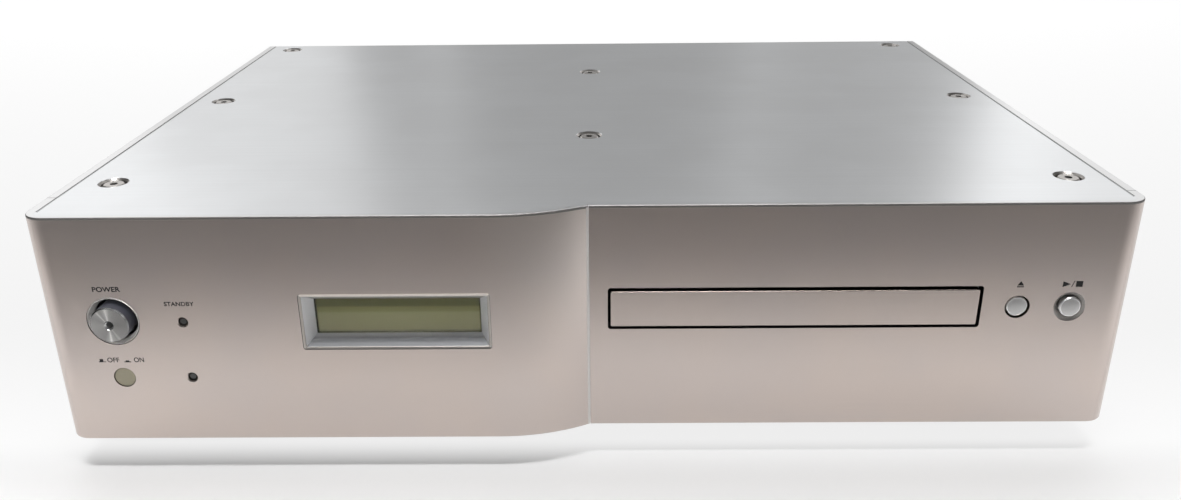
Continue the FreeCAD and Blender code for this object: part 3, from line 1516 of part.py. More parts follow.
def pickup():
    """The laser sled on its two rods, with a rack on an arm, and the lens on its holder."""
    low = plate_low - sled_drop
    top = plate_high + sled_rise
    left = tray_x - rod_offset
    right = tray_x + rod_offset
    arm_low = plate_high + arm_lift
    arm_top = guide_z + arm_rise
    body = block((tray_x - sled_half, tray_x + sled_half), (sled_front, sled_back), (low, top))
    arm_y = (sled_front + arm_front, sled_front + arm_front + arm_depth)
    fork_y = (sled_front + fork_front, sled_front + fork_front + fork_depth)
    arm = block((tray_x + sled_half - 1, right + arm_reach), arm_y, (arm_low, arm_top))
    fork = block((left - arm_reach, tray_x - sled_half + 1), fork_y, (arm_low, arm_top))
    room = rod_radius + bearing_gap
    bores = [rod(room, (right, sled_front, guide_z), (right, sled_back, guide_z)),
             block((left - arm_reach - 1, left + room), (sled_front, sled_back),
                   (guide_z - room, guide_z + room))]
    reach = (sled_gear_y - sled_travel - arm_front, sled_gear_y + sled_rack_end)
    teeth = rack(sled_module, sled_rack_x, sled_gear_y, reach, sled_rack_low, sled_rack_high, sled_rack_back)
    bar = block((right - arm_reach, sled_rack_x - sled_rack_back + fuse_sink), arm_y,
                (arm_top - fuse_thin, sled_rack_high))
    cradle_top = top + cradle_height
    lens_low = cradle_top + lens_room
    lens_top = lens_low + holder_height
    across = (tray_x - cradle_half, tray_x + cradle_half)
    cradle = block(across, (lens_y - cradle_front, lens_y + cradle_back), (top - fuse_sink, cradle_top))
    mount = block(across, (lens_y + mount_front, lens_y + cradle_back), (top, lens_top))
    sled = joined([body, arm, fork, cradle, mount]).cut(bores)
    save("optical_pickup", sled.fuse([bar, teeth]).removeSplitter())
    ring_top = lens_top + lens_ring_height
    block_part = block((tray_x - holder_half, tray_x + holder_half),
                       (lens_y - holder_front, lens_y + holder_back), (lens_low, lens_top))
    ring = rod(lens_ring_radius, (tray_x, lens_y, lens_top - fuse_sink), (tray_x, lens_y, ring_top))
    holder = joined([block_part, ring])
    bore = rod(lens_radius, (tray_x, lens_y, lens_low - 1), (tray_x, lens_y, ring_top + 1))
    dish = Part.makeSphere(lens_curve, Vec(tray_x, lens_y, ring_top - lens_recess - lens_curve))
    lens = dish.common(rod(lens_radius, (tray_x, lens_y, lens_top - lens_recess),
                           (tray_x, lens_y, ring_top + 1)))
    save("lens_holder", holder.cut(bore).fuse(lens))


def sled_drive():
    wheel = spur(sled_wheel_module, sled_wheel_teeth, sled_wheel_low, sled_wheel_high, 90)
    pinion = spur(sled_module, sled_pinion_teeth, sled_rack_low - fuse_thin, sled_rack_high, 180)
    hub = rod(sled_hub, (0, 0, plate_high + run_gap), (0, 0, sled_rack_low))
    gear = placed(joined([wheel, pinion, hub]), sled_x, sled_gear_y, 0)
    save("sled_gear", bored(gear, sled_x, sled_gear_y, sled_post_radius))
    low = plate_low - sled_can_height
    neck_top = plate_high + neck_rise
    y = sled_motor_y
    can = turned(motor_can(sled_can_radius, sled_can_height, plate_low, motor_neck, neck_top), sled_x, y, 0)
    shaft_end = low + shaft_lift
    pinion_low = neck_top + stem_gap
    bore = rod(motor_shaft_radius + bearing_gap, (sled_x, y, shaft_end - shaft_gap),
               (sled_x, y, plate_high + 2))
    save("sled_motor", can.cut(bore))
    teeth = spur(sled_wheel_module, motor_pinion_teeth, pinion_low, sled_wheel_high, 270, True)
    shaft = rod(motor_shaft_radius, (0, 0, shaft_end), (0, 0, pinion_low + fuse_thin))
    save("sled_pinion", placed(joined([teeth, shaft]), sled_x, y, 0))


# ---- Power supply and boards

board_top = base_top + board_lift
board_face = board_top + board_thickness


def transformer():
    """A ring core in its cover, with a clamping washer and a screw in the middle."""
    r = transformer_radius
    z = base_top
    hole = transformer_hole
    top = z + transformer_height
    foot = transformer_foot
    ease = transformer_round
    ring = turned([(hole, z), (r - foot, z), (r, z + foot, r - foot, z + foot), (r, top - ease),
                   (r - ease, top, r - ease, top - ease), (hole + ease, top),
                   (hole, top - ease, hole + ease, top - ease)], transformer_x, transformer_y, 0)
    save("transformer", ring)
    seat = top - clamp_depth
    rest = top + clamp_gap
    outer = hole - clamp_gap
    wall = outer - clamp_sheet
    cup = turned([(clamp_bore, seat), (outer, seat), (outer, rest), (clamp_radius, rest),
                  (clamp_radius, rest + clamp_sheet), (wall, rest + clamp_sheet), (wall, seat + clamp_sheet),
                  (clamp_bore, seat + clamp_sheet)], transformer_x, transformer_y, 0)
    nut = seat + clamp_sheet + nut_gap
    shank = clamp_bore - nut_gap
    bolt = turned([(0, z), (shank, z), (shank, nut), (nut_radius, nut), (nut_radius, nut + nut_height),
                   (0, nut + nut_height)], transformer_x, transformer_y, 0)
    save("transformer_clamp", Part.makeCompound([cup, bolt]))


def board_with(x, y, chips=()):
    """A board on its posts, with the larger parts on it."""
    board = block(x, y, (board_top, board_face))
    middle_x = (x[0] + x[1]) / 2
    middle_y = (y[0] + y[1]) / 2
    pieces = [board]
    for dx, dy, width, depth, height in chips:
        pieces.append(block((middle_x + dx - width / 2, middle_x + dx + width / 2),
                            (middle_y + dy - depth / 2, middle_y + dy + depth / 2),
                            (board_face - chip_sink, board_face + height)))
    return joined(pieces) if chips else board


def cans_on(x, y, cans):
    made = []
    for dx, dy, r, h in cans:
        high = board_face + h
        made.append(turned([(0, board_face), (r - can_foot, board_face), (r, board_face + can_rim),
                            (r, high - can_rim), (r - can_rim, high), (0, high)], x + dx, y + dy, 0))
    return made


def boards():
    """Three boards on short posts, their larger parts, and the tall posts of the loader."""
    save("power_board", board_with(power_board_x, power_board_y))
    save("audio_board", board_with(audio_board_x, audio_board_y, audio_chips))
    save("servo_board", board_with(servo_board_x, servo_board_y, servo_chips))
    posts = []
    for x, y in ((power_board_x, power_board_y), (audio_board_x, audio_board_y),
                 (servo_board_x, servo_board_y)):
        for px in (x[0] + post_inset, x[1] - post_inset):
            for py in (y[0] + post_inset, y[1] - post_inset):
                posts.append(rod(board_post, (px, py, base_top), (px, py, board_top)))
    post_top = floor_bottom - bush_height
    for x, y in loader_post_places():
        post = rod(board_post + loader_post_wall, (x, y, base_top), (x, y, post_top))
        bore = rod(shank_radius + thread_gap, (x, y, post_top - thread_depth), (x, y, post_top + 1))
        posts.append(post.cut(bore))
    save("chassis_posts", Part.makeCompound(posts))
    cans = cans_on(power_board_x[0], power_board_y[0], power_cans)
    cans += cans_on(audio_board_x[0], audio_board_y[0], audio_cans)
    save("capacitors", Part.makeCompound(cans))
    heat_sink()


def heat_sink():
    """A comb of fins that stands on the power board."""
    front = power_board_y[0] + sink_front
    left = power_board_x[1] - sink_side - sink_width
    top = board_face + sink_height
    path = [(front, board_face)]
    for k in range(fin_count):
        y = front + fin_pitch * k
        path += [(y, top), (y + fin_thickness, top), (y + fin_thickness, board_face + sink_base),
                 (y + fin_pitch, board_face + sink_base)]
    path = path[:-2] + [(y + fin_thickness, board_face)]
    save("heat_sink", slab(path, left, left + sink_width, "x"))


# ---- Rear

def rear_panel():
    reach = inner_half - seam_gap
    panel = block((-reach, reach), (rear_inside, rear_face), (base_top, plate_bottom))
    z = body_bottom + socket_z
    inlet = body_bottom + inlet_z
    front = rear_inside - 1
    back = rear_face + 1
    optical = optical_half + slot_gap
    half = inlet_half + slot_gap
    high = inlet_half_height + slot_gap
    cuts = [block((inlet_x - half, inlet_x + half), (front, back), (inlet - high, inlet + high)),
            block((optical_x - optical, optical_x + optical), (front, back), (z - optical, z + optical))]
    for x in line_x + (digital_x,):
        cuts.append(rod(jack_body_radius + body_gap, (x, front, z), (x, back, z)))
    for x in control_x:
        cuts.append(rod(control_body_radius + body_gap, (x, front, z), (x, back, z)))
    for x, at in rear_screw_places():
        cuts.append(rod(rear_shank_radius + thread_gap, (x, front, at), (x, back, at)))
    save("rear_panel", panel.cut(cuts))


def rear_screw_places():
    low = body_bottom + socket_z + rear_screw_lift
    high = plate_bottom - rear_screw_drop
    side = half_width - rear_screw_side
    return [(-side, high), (0.0, high), (side, high), (sum(line_x) / 2, low),
            ((digital_x + optical_x) / 2, low), (sum(control_x) / 2, low)]


def rear_screws():
    """Round heads: an arc through the head's middle and its edge, on a plain shank."""
    r = rear_head_radius
    h = rear_head_height
    curve = (r ** 2 + h ** 2) / (2 * h)
    end = rear_face - rear_screw_length
    shank = rear_shank_radius
    head = turned([(0, rear_face + h), (r, rear_face, 0, rear_face + h - curve), (shank, rear_face),
                   (shank, end), (0, end)], 0, 0, 0, "y")
    save("rear_screws", Part.makeCompound([placed(head, x, 0, z) for x, z in rear_screw_places()]))


def phono_jack(x, z):
    """A collar on the panel and the round socket body with its centre hole."""
    back = rear_face + jack_reach
    inner = rear_inside - jack_inside
    body = jack_body_radius
    collar = body + jack_collar
    seat = rear_face + body_gap
    step = rear_face + jack_collar_height
    plug = plug_radius
    jack = turned([(0, inner), (body, inner), (body, seat), (collar, seat), (collar, step), (plug, step),
                   (plug, back - jack_edge), (plug - jack_edge, back), (jack_rim, back),
                   (jack_rim, back - jack_recess), (0, back - jack_recess)], x, 0, z, "y")
    return jack.cut(rod(phono_bore, (x, back - phono_bore_depth, z), (x, back + 1, z)))


def sockets():
    z = body_bottom + socket_z
    save("phono_jacks", Part.makeCompound([phono_jack(x, z) for x in line_x + (digital_x,)]))
    inner = rear_inside - small_jack_inside
    face = rear_face + socket_rise
    half = optical_half
    rim = half + optical_rim
    shutter = half - optical_shutter
    optical = joined([block((optical_x - half, optical_x + half), (inner, face), (z - half, z + half)),
                      block((optical_x - rim, optical_x + rim), (rear_face, rear_face + optical_rim_height),
                            (z - rim, z + rim))])
    flap = block((optical_x - shutter, optical_x + shutter), (face - shutter_depth, face + 1),
                 (z - shutter, z + shutter))
    small = [optical.cut(flap)]
    r = control_body_radius
    collar = rear_face + control_collar_height
    for x in control_x:
        body = turned([(0, inner), (r, inner), (r, rear_face), (r + control_collar, rear_face),
                       (r + control_collar, collar), (0, collar)], x, 0, z, "y")
        bore = rod(control_bore, (x, rear_inside - control_bore_depth, z), (x, collar + 1, z))
        small.append(body.cut(bore))
    save("optical_and_control_jacks", Part.makeCompound(small))
    mains_inlet()


def mains_inlet():
    """A flanged shell with a mouth that is cut off at its upper corners, and two pins in it."""
    z = body_bottom + inlet_z
    x = inlet_x
    half = inlet_half
    high = inlet_half_height
    back = rear_inside - inlet_reach
    rim = high + inlet_rim
    front = rear_face + inlet_rim_height
    flange = rounded((x - inlet_flange, x + inlet_flange), (z - rim, z + rim), inlet_corner)
    shell = joined([block((x - half, x + half), (back, rear_face + fuse_sink), (z - high, z + high)),
                    slab(flange, rear_face, front, "y")])
    mouth_w = half - inlet_wall
    mouth_h = high - inlet_wall
    cut = inlet_cut
    mouth = slab([(x - mouth_w, z - mouth_h), (x + mouth_w, z - mouth_h), (x + mouth_w, z + mouth_h - cut),
                  (x + mouth_w - cut, z + mouth_h), (x - mouth_w + cut, z + mouth_h),
                  (x - mouth_w, z + mouth_h - cut)], back + inlet_floor, front + 1, "y")
    pins = []
    for at in (x - inlet_pin_offset, x + inlet_pin_offset):
        pins.append(block((at - inlet_pin_half, at + inlet_pin_half),
                          (back + inlet_floor - fuse_sink, rear_face - inlet_pin_drop),
                          (z - inlet_pin_half_height, z + inlet_pin_half_height)))
    save("mains_inlet", shell.cut(mouth).fuse(pins))


def main():
    os.makedirs("parts", exist_ok=True)
    left_front_panel()
    right_front_panel()
    side_panels()
    top_plate()
    top_screws()
    top_rails()
    base_chassis()
    inner_frame()
    feet()
    display()
    power_control()
    indicators()
    right_buttons()
    tray_door()
    disc_tray()
    loader_chassis()
    lift_slider()
    loader_bushes()
    lower_screws()
    loading_gears()
    loading_motor()
    clamp()
    traverse_plate()
    guide_rods()
    spindle()
    pickup()
    sled_drive()
    transformer()
    boards()
    rear_panel()
    rear_screws()
    sockets()


main()
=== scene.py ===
import json
import math
import bmesh
import bpy
import numpy as np
from mathutils import Matrix, Vector


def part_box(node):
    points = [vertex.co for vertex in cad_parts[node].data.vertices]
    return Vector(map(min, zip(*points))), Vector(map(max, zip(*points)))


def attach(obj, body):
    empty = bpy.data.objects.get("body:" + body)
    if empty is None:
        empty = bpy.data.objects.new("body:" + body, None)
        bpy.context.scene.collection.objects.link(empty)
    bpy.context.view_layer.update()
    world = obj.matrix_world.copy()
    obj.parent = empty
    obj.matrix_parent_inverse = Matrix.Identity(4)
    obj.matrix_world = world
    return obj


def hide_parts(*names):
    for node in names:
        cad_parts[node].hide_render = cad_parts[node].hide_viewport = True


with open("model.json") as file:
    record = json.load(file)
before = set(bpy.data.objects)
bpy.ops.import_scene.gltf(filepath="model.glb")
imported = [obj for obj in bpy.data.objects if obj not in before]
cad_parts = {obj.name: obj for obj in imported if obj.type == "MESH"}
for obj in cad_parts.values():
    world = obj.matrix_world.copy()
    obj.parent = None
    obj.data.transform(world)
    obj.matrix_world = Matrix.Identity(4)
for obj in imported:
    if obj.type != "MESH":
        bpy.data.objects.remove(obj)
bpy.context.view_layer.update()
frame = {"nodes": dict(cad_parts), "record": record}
nodes = frame["nodes"]
mm = 0.001
print("frame loaded:", len(nodes), "nodes")

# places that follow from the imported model, in metres
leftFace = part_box("left_front_panel")[0][1]      # y of the left front face
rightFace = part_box("right_front_panel")[0][1]
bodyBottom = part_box("base_chassis")[0][2]
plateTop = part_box("top_plate")[1][2]


def middleOf(name):
    low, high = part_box(name)
    return tuple((a + b) / 2 for a, b in zip(low, high))


def sizeOf(name):
    # width, depth and height in mm
    low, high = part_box(name)
    return tuple((b - a) / mm for a, b in zip(low, high))


def link(name, verts, faces):
    mesh = bpy.data.meshes.new(name)
    mesh.from_pydata(np.asarray(verts).tolist(), [], faces)
    mesh.update()
    piece = bpy.data.objects.new(name, mesh)
    bpy.context.scene.collection.objects.link(piece)
    return piece


def tubeFaces(levels, count, poles=False):
    # rings of points joined by quads, the first ring anticlockwise as seen from outside; each end is closed
    # by one polygon, or by a fan round one of the two poles that follow the rings
    row = np.arange(count)
    after = (row + 1) % count
    start = count * np.arange(levels - 1)[:, None]
    quads = np.stack((start + after, start + row, start + count + row, start + count + after), axis=2)
    faces = quads.reshape(-1, 4).tolist()
    last, end = count * (levels - 1), count * levels
    if not poles:
        return faces + [tuple(range(count)), tuple(range(end - 1, last - 1, -1))]
    front = np.column_stack((np.full(count, end), row, after))
    back = np.column_stack((np.full(count, end + 1), last + after, last + row))
    return faces + front.tolist() + back.tolist()


class Wire:
    # one socket of a material; sums and products of wires add the Math nodes
    def __init__(self, finish, socket):
        self.finish = finish
        self.socket = socket

    def math(self, operation, *others):
        return self.finish.node("ShaderNodeMath", {"operation": operation}, dict(enumerate((self,) + others)))

    def __add__(self, other):
        return self.math("ADD", other)

    __radd__ = __add__

    def __mul__(self, other):
        return self.math("MULTIPLY", other)

    __rmul__ = __mul__

    def __sub__(self, other):
        return self.math("SUBTRACT", other)

    def __rsub__(self, other):
        return self.finish.node("ShaderNodeMath", {"operation": "SUBTRACT"}, {0: other, 1: self})

    def below(self, limit):
        return self.math("LESS_THAN", limit)

    def above(self, limit):
        return self.math("GREATER_THAN", limit)

    def larger(self, other):
        return self.math("MAXIMUM", other)

    def size(self):
        return self.math("ABSOLUTE")

    def ramp(self, low, high):
        # 0 up to low, 1 from high on, smooth between
        return self.finish.node("ShaderNodeMapRange", {"interpolation_type": "SMOOTHSTEP"},
                                {"Value": self, "From Min": low, "From Max": high})

    def colours(self, stops):
        return self.finish.node("ShaderNodeValToRGB", {"stops": stops}, {0: self}, output="Color")


class Finish:
    # a material; every node is added by node()
    def __init__(self, name):
        self.material = bpy.data.materials.new(name)
        self.material.use_nodes = True
        self.shader = self.material.node_tree.nodes["Principled BSDF"]

    def node(self, kind, settings=None, sockets=None, output=0):
        made = self.material.node_tree.nodes.new(kind)
        for key, value in (settings or {}).items():
            if key == "stops":
                self.setStops(made.color_ramp, value)
            else:
                setattr(made, key, value)
        for key, value in (sockets or {}).items():
            self.feed(made.inputs[key], value)
        return Wire(self, made.outputs[output])

    def setStops(self, ramp, stops):
        ramp.elements.remove(ramp.elements[-1])
        ramp.elements[0].position = stops[0][0]
        ramp.elements[0].color = tuple(stops[0][1]) + (1,)
        for place, colour in stops[1:]:
            ramp.elements.new(place).color = tuple(colour) + (1,)

    def feed(self, socket, value):
        if isinstance(value, Wire):
            self.material.node_tree.links.new(value.socket, socket)
        elif socket.type == "RGBA":
            socket.default_value = tuple(value) + (1,)
        else:
            socket.default_value = value

    def set(self, **values):
        for key, value in values.items():
            self.feed(self.shader.inputs[key.replace("_", " ")], value)

    def seen(self):
        # 1 where a surface is looked at, straight or through metal and glass
        path = self.node("ShaderNodeLightPath").socket.node
        camera, glossy, passed = (Wire(self, path.outputs["Is " + kind + " Ray"])
                                  for kind in ("Camera", "Glossy", "Transmission"))
        return camera.larger(glossy).larger(passed)

    def whitened(self, share, strength):
        # the paint gives way to a white of its own, by a share
        paint = Wire(self, self.shader.outputs[0])
        white = self.node("ShaderNodeEmission", {}, {"Color": tone(1.0), "Strength": strength})
        mixed = self.node("ShaderNodeMixShader", {}, {0: share, 1: paint, 2: white})
        self.feed(self.material.node_tree.nodes["Material Output"].inputs["Surface"], mixed)

    def mapped(self, scale=(1, 1, 1), centre=(0, 0, 0)):
        # object coordinates from a centre, stretched
        coords = self.node("ShaderNodeTexCoord", output="Object")
        moved = self.node("ShaderNodeVectorMath", {"operation": "SUBTRACT"}, {0: coords, 1: centre})
        return self.node("ShaderNodeVectorMath", {"operation": "MULTIPLY"}, {0: moved, 1: scale})

    def grain(self, *sizes, detail=2.0):
        # noise with grains of so many mm along x, y and z, or of one size along all three
        sizes = sizes if len(sizes) == 3 else sizes * 3
        where = self.mapped(tuple(1 / (size * mm) for size in sizes))
        return self.node("ShaderNodeTexNoise", {}, {"Vector": where, "Scale": 1.0, "Detail": detail})

    def axes(self, centre=(0, 0, 0)):
        # x, y and z in mm from a centre
        apart = self.node("ShaderNodeSeparateXYZ", {}, {0: self.mapped((1 / mm,) * 3, centre)}).socket.node
        return [Wire(self, apart.outputs[k]) for k in range(3)]

    def within(self, x, z, halfWide, halfHigh, radius):
        # 1 inside a rectangle with round corners about the origin of x and z
        dx = (x.size() - (halfWide - radius)).larger(0.0)
        dz = (z.size() - (halfHigh - radius)).larger(0.0)
        return radiusOf(dx, dz).below(radius)

    def mix(self, factor, a, b):
        return self.node("ShaderNodeMix", {"data_type": "RGBA"}, {0: factor, 6: a, 7: b}, output=2)

    def bump(self, height, distance, strength=1.0):
        return self.node("ShaderNodeBump", {},
                         {"Height": height, "Strength": strength, "Distance": distance * mm})


def radiusOf(x, z):
    return (x * x + z * z).math("SQRT")


def tone(value, warm=0.0, pink=0.0):
    # a grey that leans to red and away from blue, or away from green
    return (value * (1 + warm), value * (1 - pink), value * (1 - warm))


view = {
    "frame": (1181.0, 500.0),
    "focal": 1008.82,                    # in pixels of that frame
    "centre": (585.0, 239.97),
    "pitch": 0.387946, "yaw": 0.011538, "roll": 0.010689,
    "place": (2.7016, -343.9877, 225.5849),      # mm from the left face and the cabinet's bottom
    "film": 36.0, "near": 0.01,
}


def makeCamera():
    # right, down and forward of a camera that looks along +y, turned by yaw, pitch and roll
    pitch, yaw, roll = view["pitch"], view["yaw"], view["roll"]
    forward = Vector((-math.sin(yaw) * math.cos(pitch), math.cos(yaw) * math.cos(pitch), -math.sin(pitch)))
    right = Vector((math.cos(yaw), math.sin(yaw), 0))
    down = forward.cross(right)
    turnedRight = math.cos(roll) * right + math.sin(roll) * down
    turnedDown = -math.sin(roll) * right + math.cos(roll) * down
    width, height = view["frame"]
    lens = bpy.data.cameras.new("camera")
    lens.sensor_width = view["film"]
    lens.lens = view["focal"] / width * view["film"]
    lens.shift_x = (width / 2 - view["centre"][0]) / width
    lens.shift_y = (view["centre"][1] - height / 2) / width
    lens.clip_start = view["near"]
    camera = bpy.data.objects.new("camera", lens)
    x, y, z = view["place"]
    at = Vector((x * mm, leftFace + y * mm, bodyBottom + z * mm))
    turn = Matrix((turnedRight, -turnedDown, -forward)).transposed()
    camera.matrix_world = Matrix.Translation(at) @ turn.to_4x4()
    bpy.context.scene.collection.objects.link(camera)
    bpy.context.scene.camera = camera


makeCamera()
print("camera placed")

hairlines = {   # lengths in mm; colours and roughnesses run between two ends; lean is warm, then pink
    "front": {"long": 50.0, "pitch": 0.22, "depth": 0.0020, "colour": (0.515, 0.575), "rough": (0.22, 0.28),
              "lean": (0.11, 0.035)},
    "side": {"long": 50.0, "pitch": 0.22, "depth": 0.0020, "colour": (0.56, 0.63), "rough": (0.27, 0.34),
             "lean": (0.03, 0.01)},
    "plate": {"long": 120.0, "pitch": 0.30, "depth": 0.0040, "colour": (0.70, 0.84), "rough": (0.26, 0.36),
              "lean": (-0.014, 0.0)},
    "wide": 5, "cloud": 40.0,            # wide lines are so many times the fine ones
}


def brushLines(f, kind, along):
    # hairlines: noise that is long along one axis and short across it, fine lines over wide ones
    k = hairlines[kind]
    sizes = [k["long"] if axis == along else k["pitch"] for axis in range(3)]
    fine = f.grain(*sizes)
    lines = fine * 0.65 + f.grain(*(size * hairlines["wide"] for size in sizes)) * 0.35
    cloud = f.grain(hairlines["cloud"]).ramp(0.35, 0.65)
    darker, paler = k["colour"]
    warm, pink = k["lean"]
    colour = f.mix(lines, tone(darker, warm, pink), tone(paler, warm, pink))
    colour = f.mix(cloud * 0.35, colour, tone(darker, warm * 0.6, pink))
    smooth, rough = k["rough"]
    return colour, smooth + lines * (rough - smooth), f.bump(fine, k["depth"])


crownShading = {   # mm below the plate's top: the round edge of a panel, with a painted dark reflection, and the lip at its very top, with a painted highlight
    "edge": {"below": 0.9, "colour": tone(0.22, 0.04), "rough": 0.5},
    "lip": {"below": 0.06, "colour": tone(0.72), "rough": 0.30},
}
bendSheen = {   # mm from the middle and from the plate's top: where the painted sheen on the curved part of the left panel starts and ends
    "across": (-52.0, -18.0), "up": (-60.0, -12.0), "most": 0.20, "least": 0.02, "colour": tone(1.0, 0.05),
}


def panelMetal(name, kind, along, shadeSpots=(), sheenOnBend=False):
    # brushed panel; its top lip has a painted highlight, the round edge below it a painted dark reflection, the
    # curved part of the left panel a painted sheen, and in and round its openings it carries painted shade
    f = Finish(name)
    colour, rough, normal = brushLines(f, kind, along)
    x, _, z = f.axes((0, 0, plateTop))
    if sheenOnBend:
        # painted sheen: the curved part of the left panel is lightened towards white
        bendHighlight = x.ramp(*bendSheen["across"]) * (z.ramp(*bendSheen["up"]) * bendSheen["most"] + bendSheen["least"])
        colour = f.mix(bendHighlight, colour, bendSheen["colour"])
    # painted highlight on the top lip and painted dark reflection on the round edge below it
    for part in (crownShading["edge"], crownShading["lip"]):
        mask = z.above(-part["below"])
        colour = f.mix(mask, colour, part["colour"])
        rough = rough + mask * (part["rough"] - rough)
    metal = 1.0
    # painted shade in and round the openings of the front
    for spot in shadeSpots:
        cx, cy, cz = f.axes(spot["at"])
        inside = f.within(cx, cz, *spot["half"], spot["radius"]) * cy.above(spot["deep"])
        colour = f.mix(inside, colour, spot["colour"])
        rough = rough + inside * (spot["rough"] - rough)
        metal = metal - inside * (1 - spot["metal"])
    f.set(Base_Color=colour, Metallic=metal, Roughness=rough, Normal=normal)
    return f.material


recessShades = {   # painted shade in and round openings of the front: near black in the tray opening, darker and less metallic in the play key's dish, and a painted shadow line along the bezel's left side and foot; mm: half width and height, corner radius, move right and up, least depth behind the face
    "tray_door": {"half": (72.45, 8.9), "radius": 1.25, "move": (0.0, 0.0), "deep": 0.12,
                  "colour": tone(0.012), "rough": 0.6, "metal": 1.0},
    "play_button": {"half": (6.25, 6.25), "radius": 6.25, "move": (0.0, 0.0), "deep": 0.12,
                    "colour": tone(0.42, 0.05), "rough": 0.42, "metal": 0.45},
    "display_bezel": {"half": tuple(size / 2 + 0.22 for size in sizeOf("display_bezel")[::2]), "radius": 1.2,
                      "move": (-0.14, -0.26), "deep": -0.5, "colour": tone(0.10, 0.05), "rough": 0.5,
                      "metal": 1.0},
}


def shadeRound(node, face):
    # the painted shade round a node in the front face that it sits in
    spot = recessShades[node]
    middle = middleOf(node)
    right, up = spot["move"]
    return {**spot, "at": (middle[0] + right * mm, face, middle[2] + up * mm)}


cupShade = {"below": 0.12, "colour": tone(0.52, 0.05), "rough": 0.38}


def plateMetal():
    # brushed plate with turned cups, rougher and painted darker as shade in their hollows
    f = Finish("plateMetal")
    colour, rough, normal = brushLines(f, "plate", 0)
    # painted shade: the plate is darker below its top face, in the cups round the screws
    shadedCup = f.axes((0, 0, plateTop))[2].below(-cupShade["below"])
    f.set(Base_Color=f.mix(shadedCup, colour, cupShade["colour"]), Metallic=1.0,
          Roughness=rough + shadedCup * (cupShade["rough"] - rough), Normal=normal)
    return f.material


def plainMetal(name, value, roughness, warm=0.0, grain=0.6, shadeBelow=None):
    # satin metal with a fine grain; below a height in mm it may carry a painted shade
    f = Finish(name)
    speck = f.grain(grain)
    colour = f.mix(speck, tone(value * 0.92, warm), tone(value * 1.06, warm))
    if shadeBelow is not None:
        # painted shade below the given height
        colour = f.mix(f.axes()[2].below(shadeBelow), colour, tone(value * 0.18, warm))
    f.set(Base_Color=colour, Metallic=1.0, Roughness=roughness + speck * 0.06, Normal=f.bump(speck, 0.0006))
    return f.material


turned = {   # mm; the grooves are rings about the axis, and rim, side, the painted highlight ring and the dimple with its painted shade are radii
    "groove": 0.11,
    "power": {"depth": 0.010, "value": (0.16, 1.0), "rough": 0.24, "rim": 6.88, "side": 6.8, "face": 0.56,
              "dish": 1.95, "dimple": 1.32, "sideColour": (0.11, 0.115, 0.14)},
    "ring": {"depth": 0.004, "value": (0.74, 0.88), "rough": 0.42, "rim": 9.74, "bore": (3.6, 5.2)},
    "cap": {"depth": 0.004, "value": 0.53, "rough": 0.34, "rim": 3.55, "paintedRimHighlight": 0.85},
    "streakHighlights": ((-180, 0.30), (-150, 0.24), (-112, 0.18), (-98, 0.40), (-91, 1.0), (-84, 0.40), (-70, 0.20),
              (-62, 0.42), (-54, 0.18), (-20, 0.12), (0, 0.08), (30, 0.14), (60, 0.22), (80, 0.34), (88, 0.70),
              (94, 1.0), (101, 0.50), (112, 0.30), (119, 0.34), (125, 0.80), (131, 0.32), (150, 0.22),
              (165, 0.26), (180, 0.30)),      # degrees from the right, painted highlight streaks
    "rimHighlights": ((0.0, 0.30), (0.56, 0.30), (0.60, 0.95), (0.66, 1.0), (0.69, 0.40), (0.76, 0.85), (0.80, 0.30),
                (1.0, 0.25)),                  # share of a turn from the left, painted highlights on the slanted rim
}


def ringsAt(f, radius):
    # noise read along the radius only
    return f.node("ShaderNodeTexNoise", {"noise_dimensions": "1D"},
                  {"W": radius, "Scale": 1 / turned["groove"], "Detail": 2.0})


def powerMetal():
    # a face turned in deep rings, with painted highlight streaks, painted highlights on its slanted rim, a
    # painted highlight ring round a dimple painted dark as shade, and a plain bluish side
    k = turned["power"]
    f = Finish("turnedPower")
    middle = middleOf("power_button")
    x, y, z = f.axes((middle[0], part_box("power_button")[0][1], middle[2]))
    radius = radiusOf(x, z)
    rings = ringsAt(f, radius)
    side = y.above(k["face"]) * radius.above(k["side"])
    rim = radius.above(k["rim"]) * (1 - side)
    dimple = radius.below(k["dimple"])
    turn = z.math("ARCTAN2", x) * (1 / math.tau) + 0.5
    # painted highlight streaks by angle on the face
    paintedStreaks = turn.colours(tuple((angle / 360 + 0.5, tone(value)) for angle, value in turned["streakHighlights"]))
    darker, paler = k["value"]
    colour = f.mix(paintedStreaks * 0.80 + rings * 0.14, tone(darker, 0.02), tone(paler, 0.02))
    # painted highlights on the slanted rim, and a painted highlight ring round the dimple
    colour = f.mix(rim, colour, turn.colours(tuple((share, tone(value)) for share, value in turned["rimHighlights"])))
    colour = f.mix(radius.below(k["dish"]), colour, tone(0.55))
    colour = f.mix(side, colour, k["sideColour"])
    # painted shade in the dimple
    colour = f.mix(dimple * (1 - side), colour, tone(0.05))
    f.set(Base_Color=colour, Metallic=1 - side * 0.55, Roughness=k["rough"] + side * 0.2 + dimple * 0.25,
          Normal=f.bump(rings, k["depth"]))
    return f.material


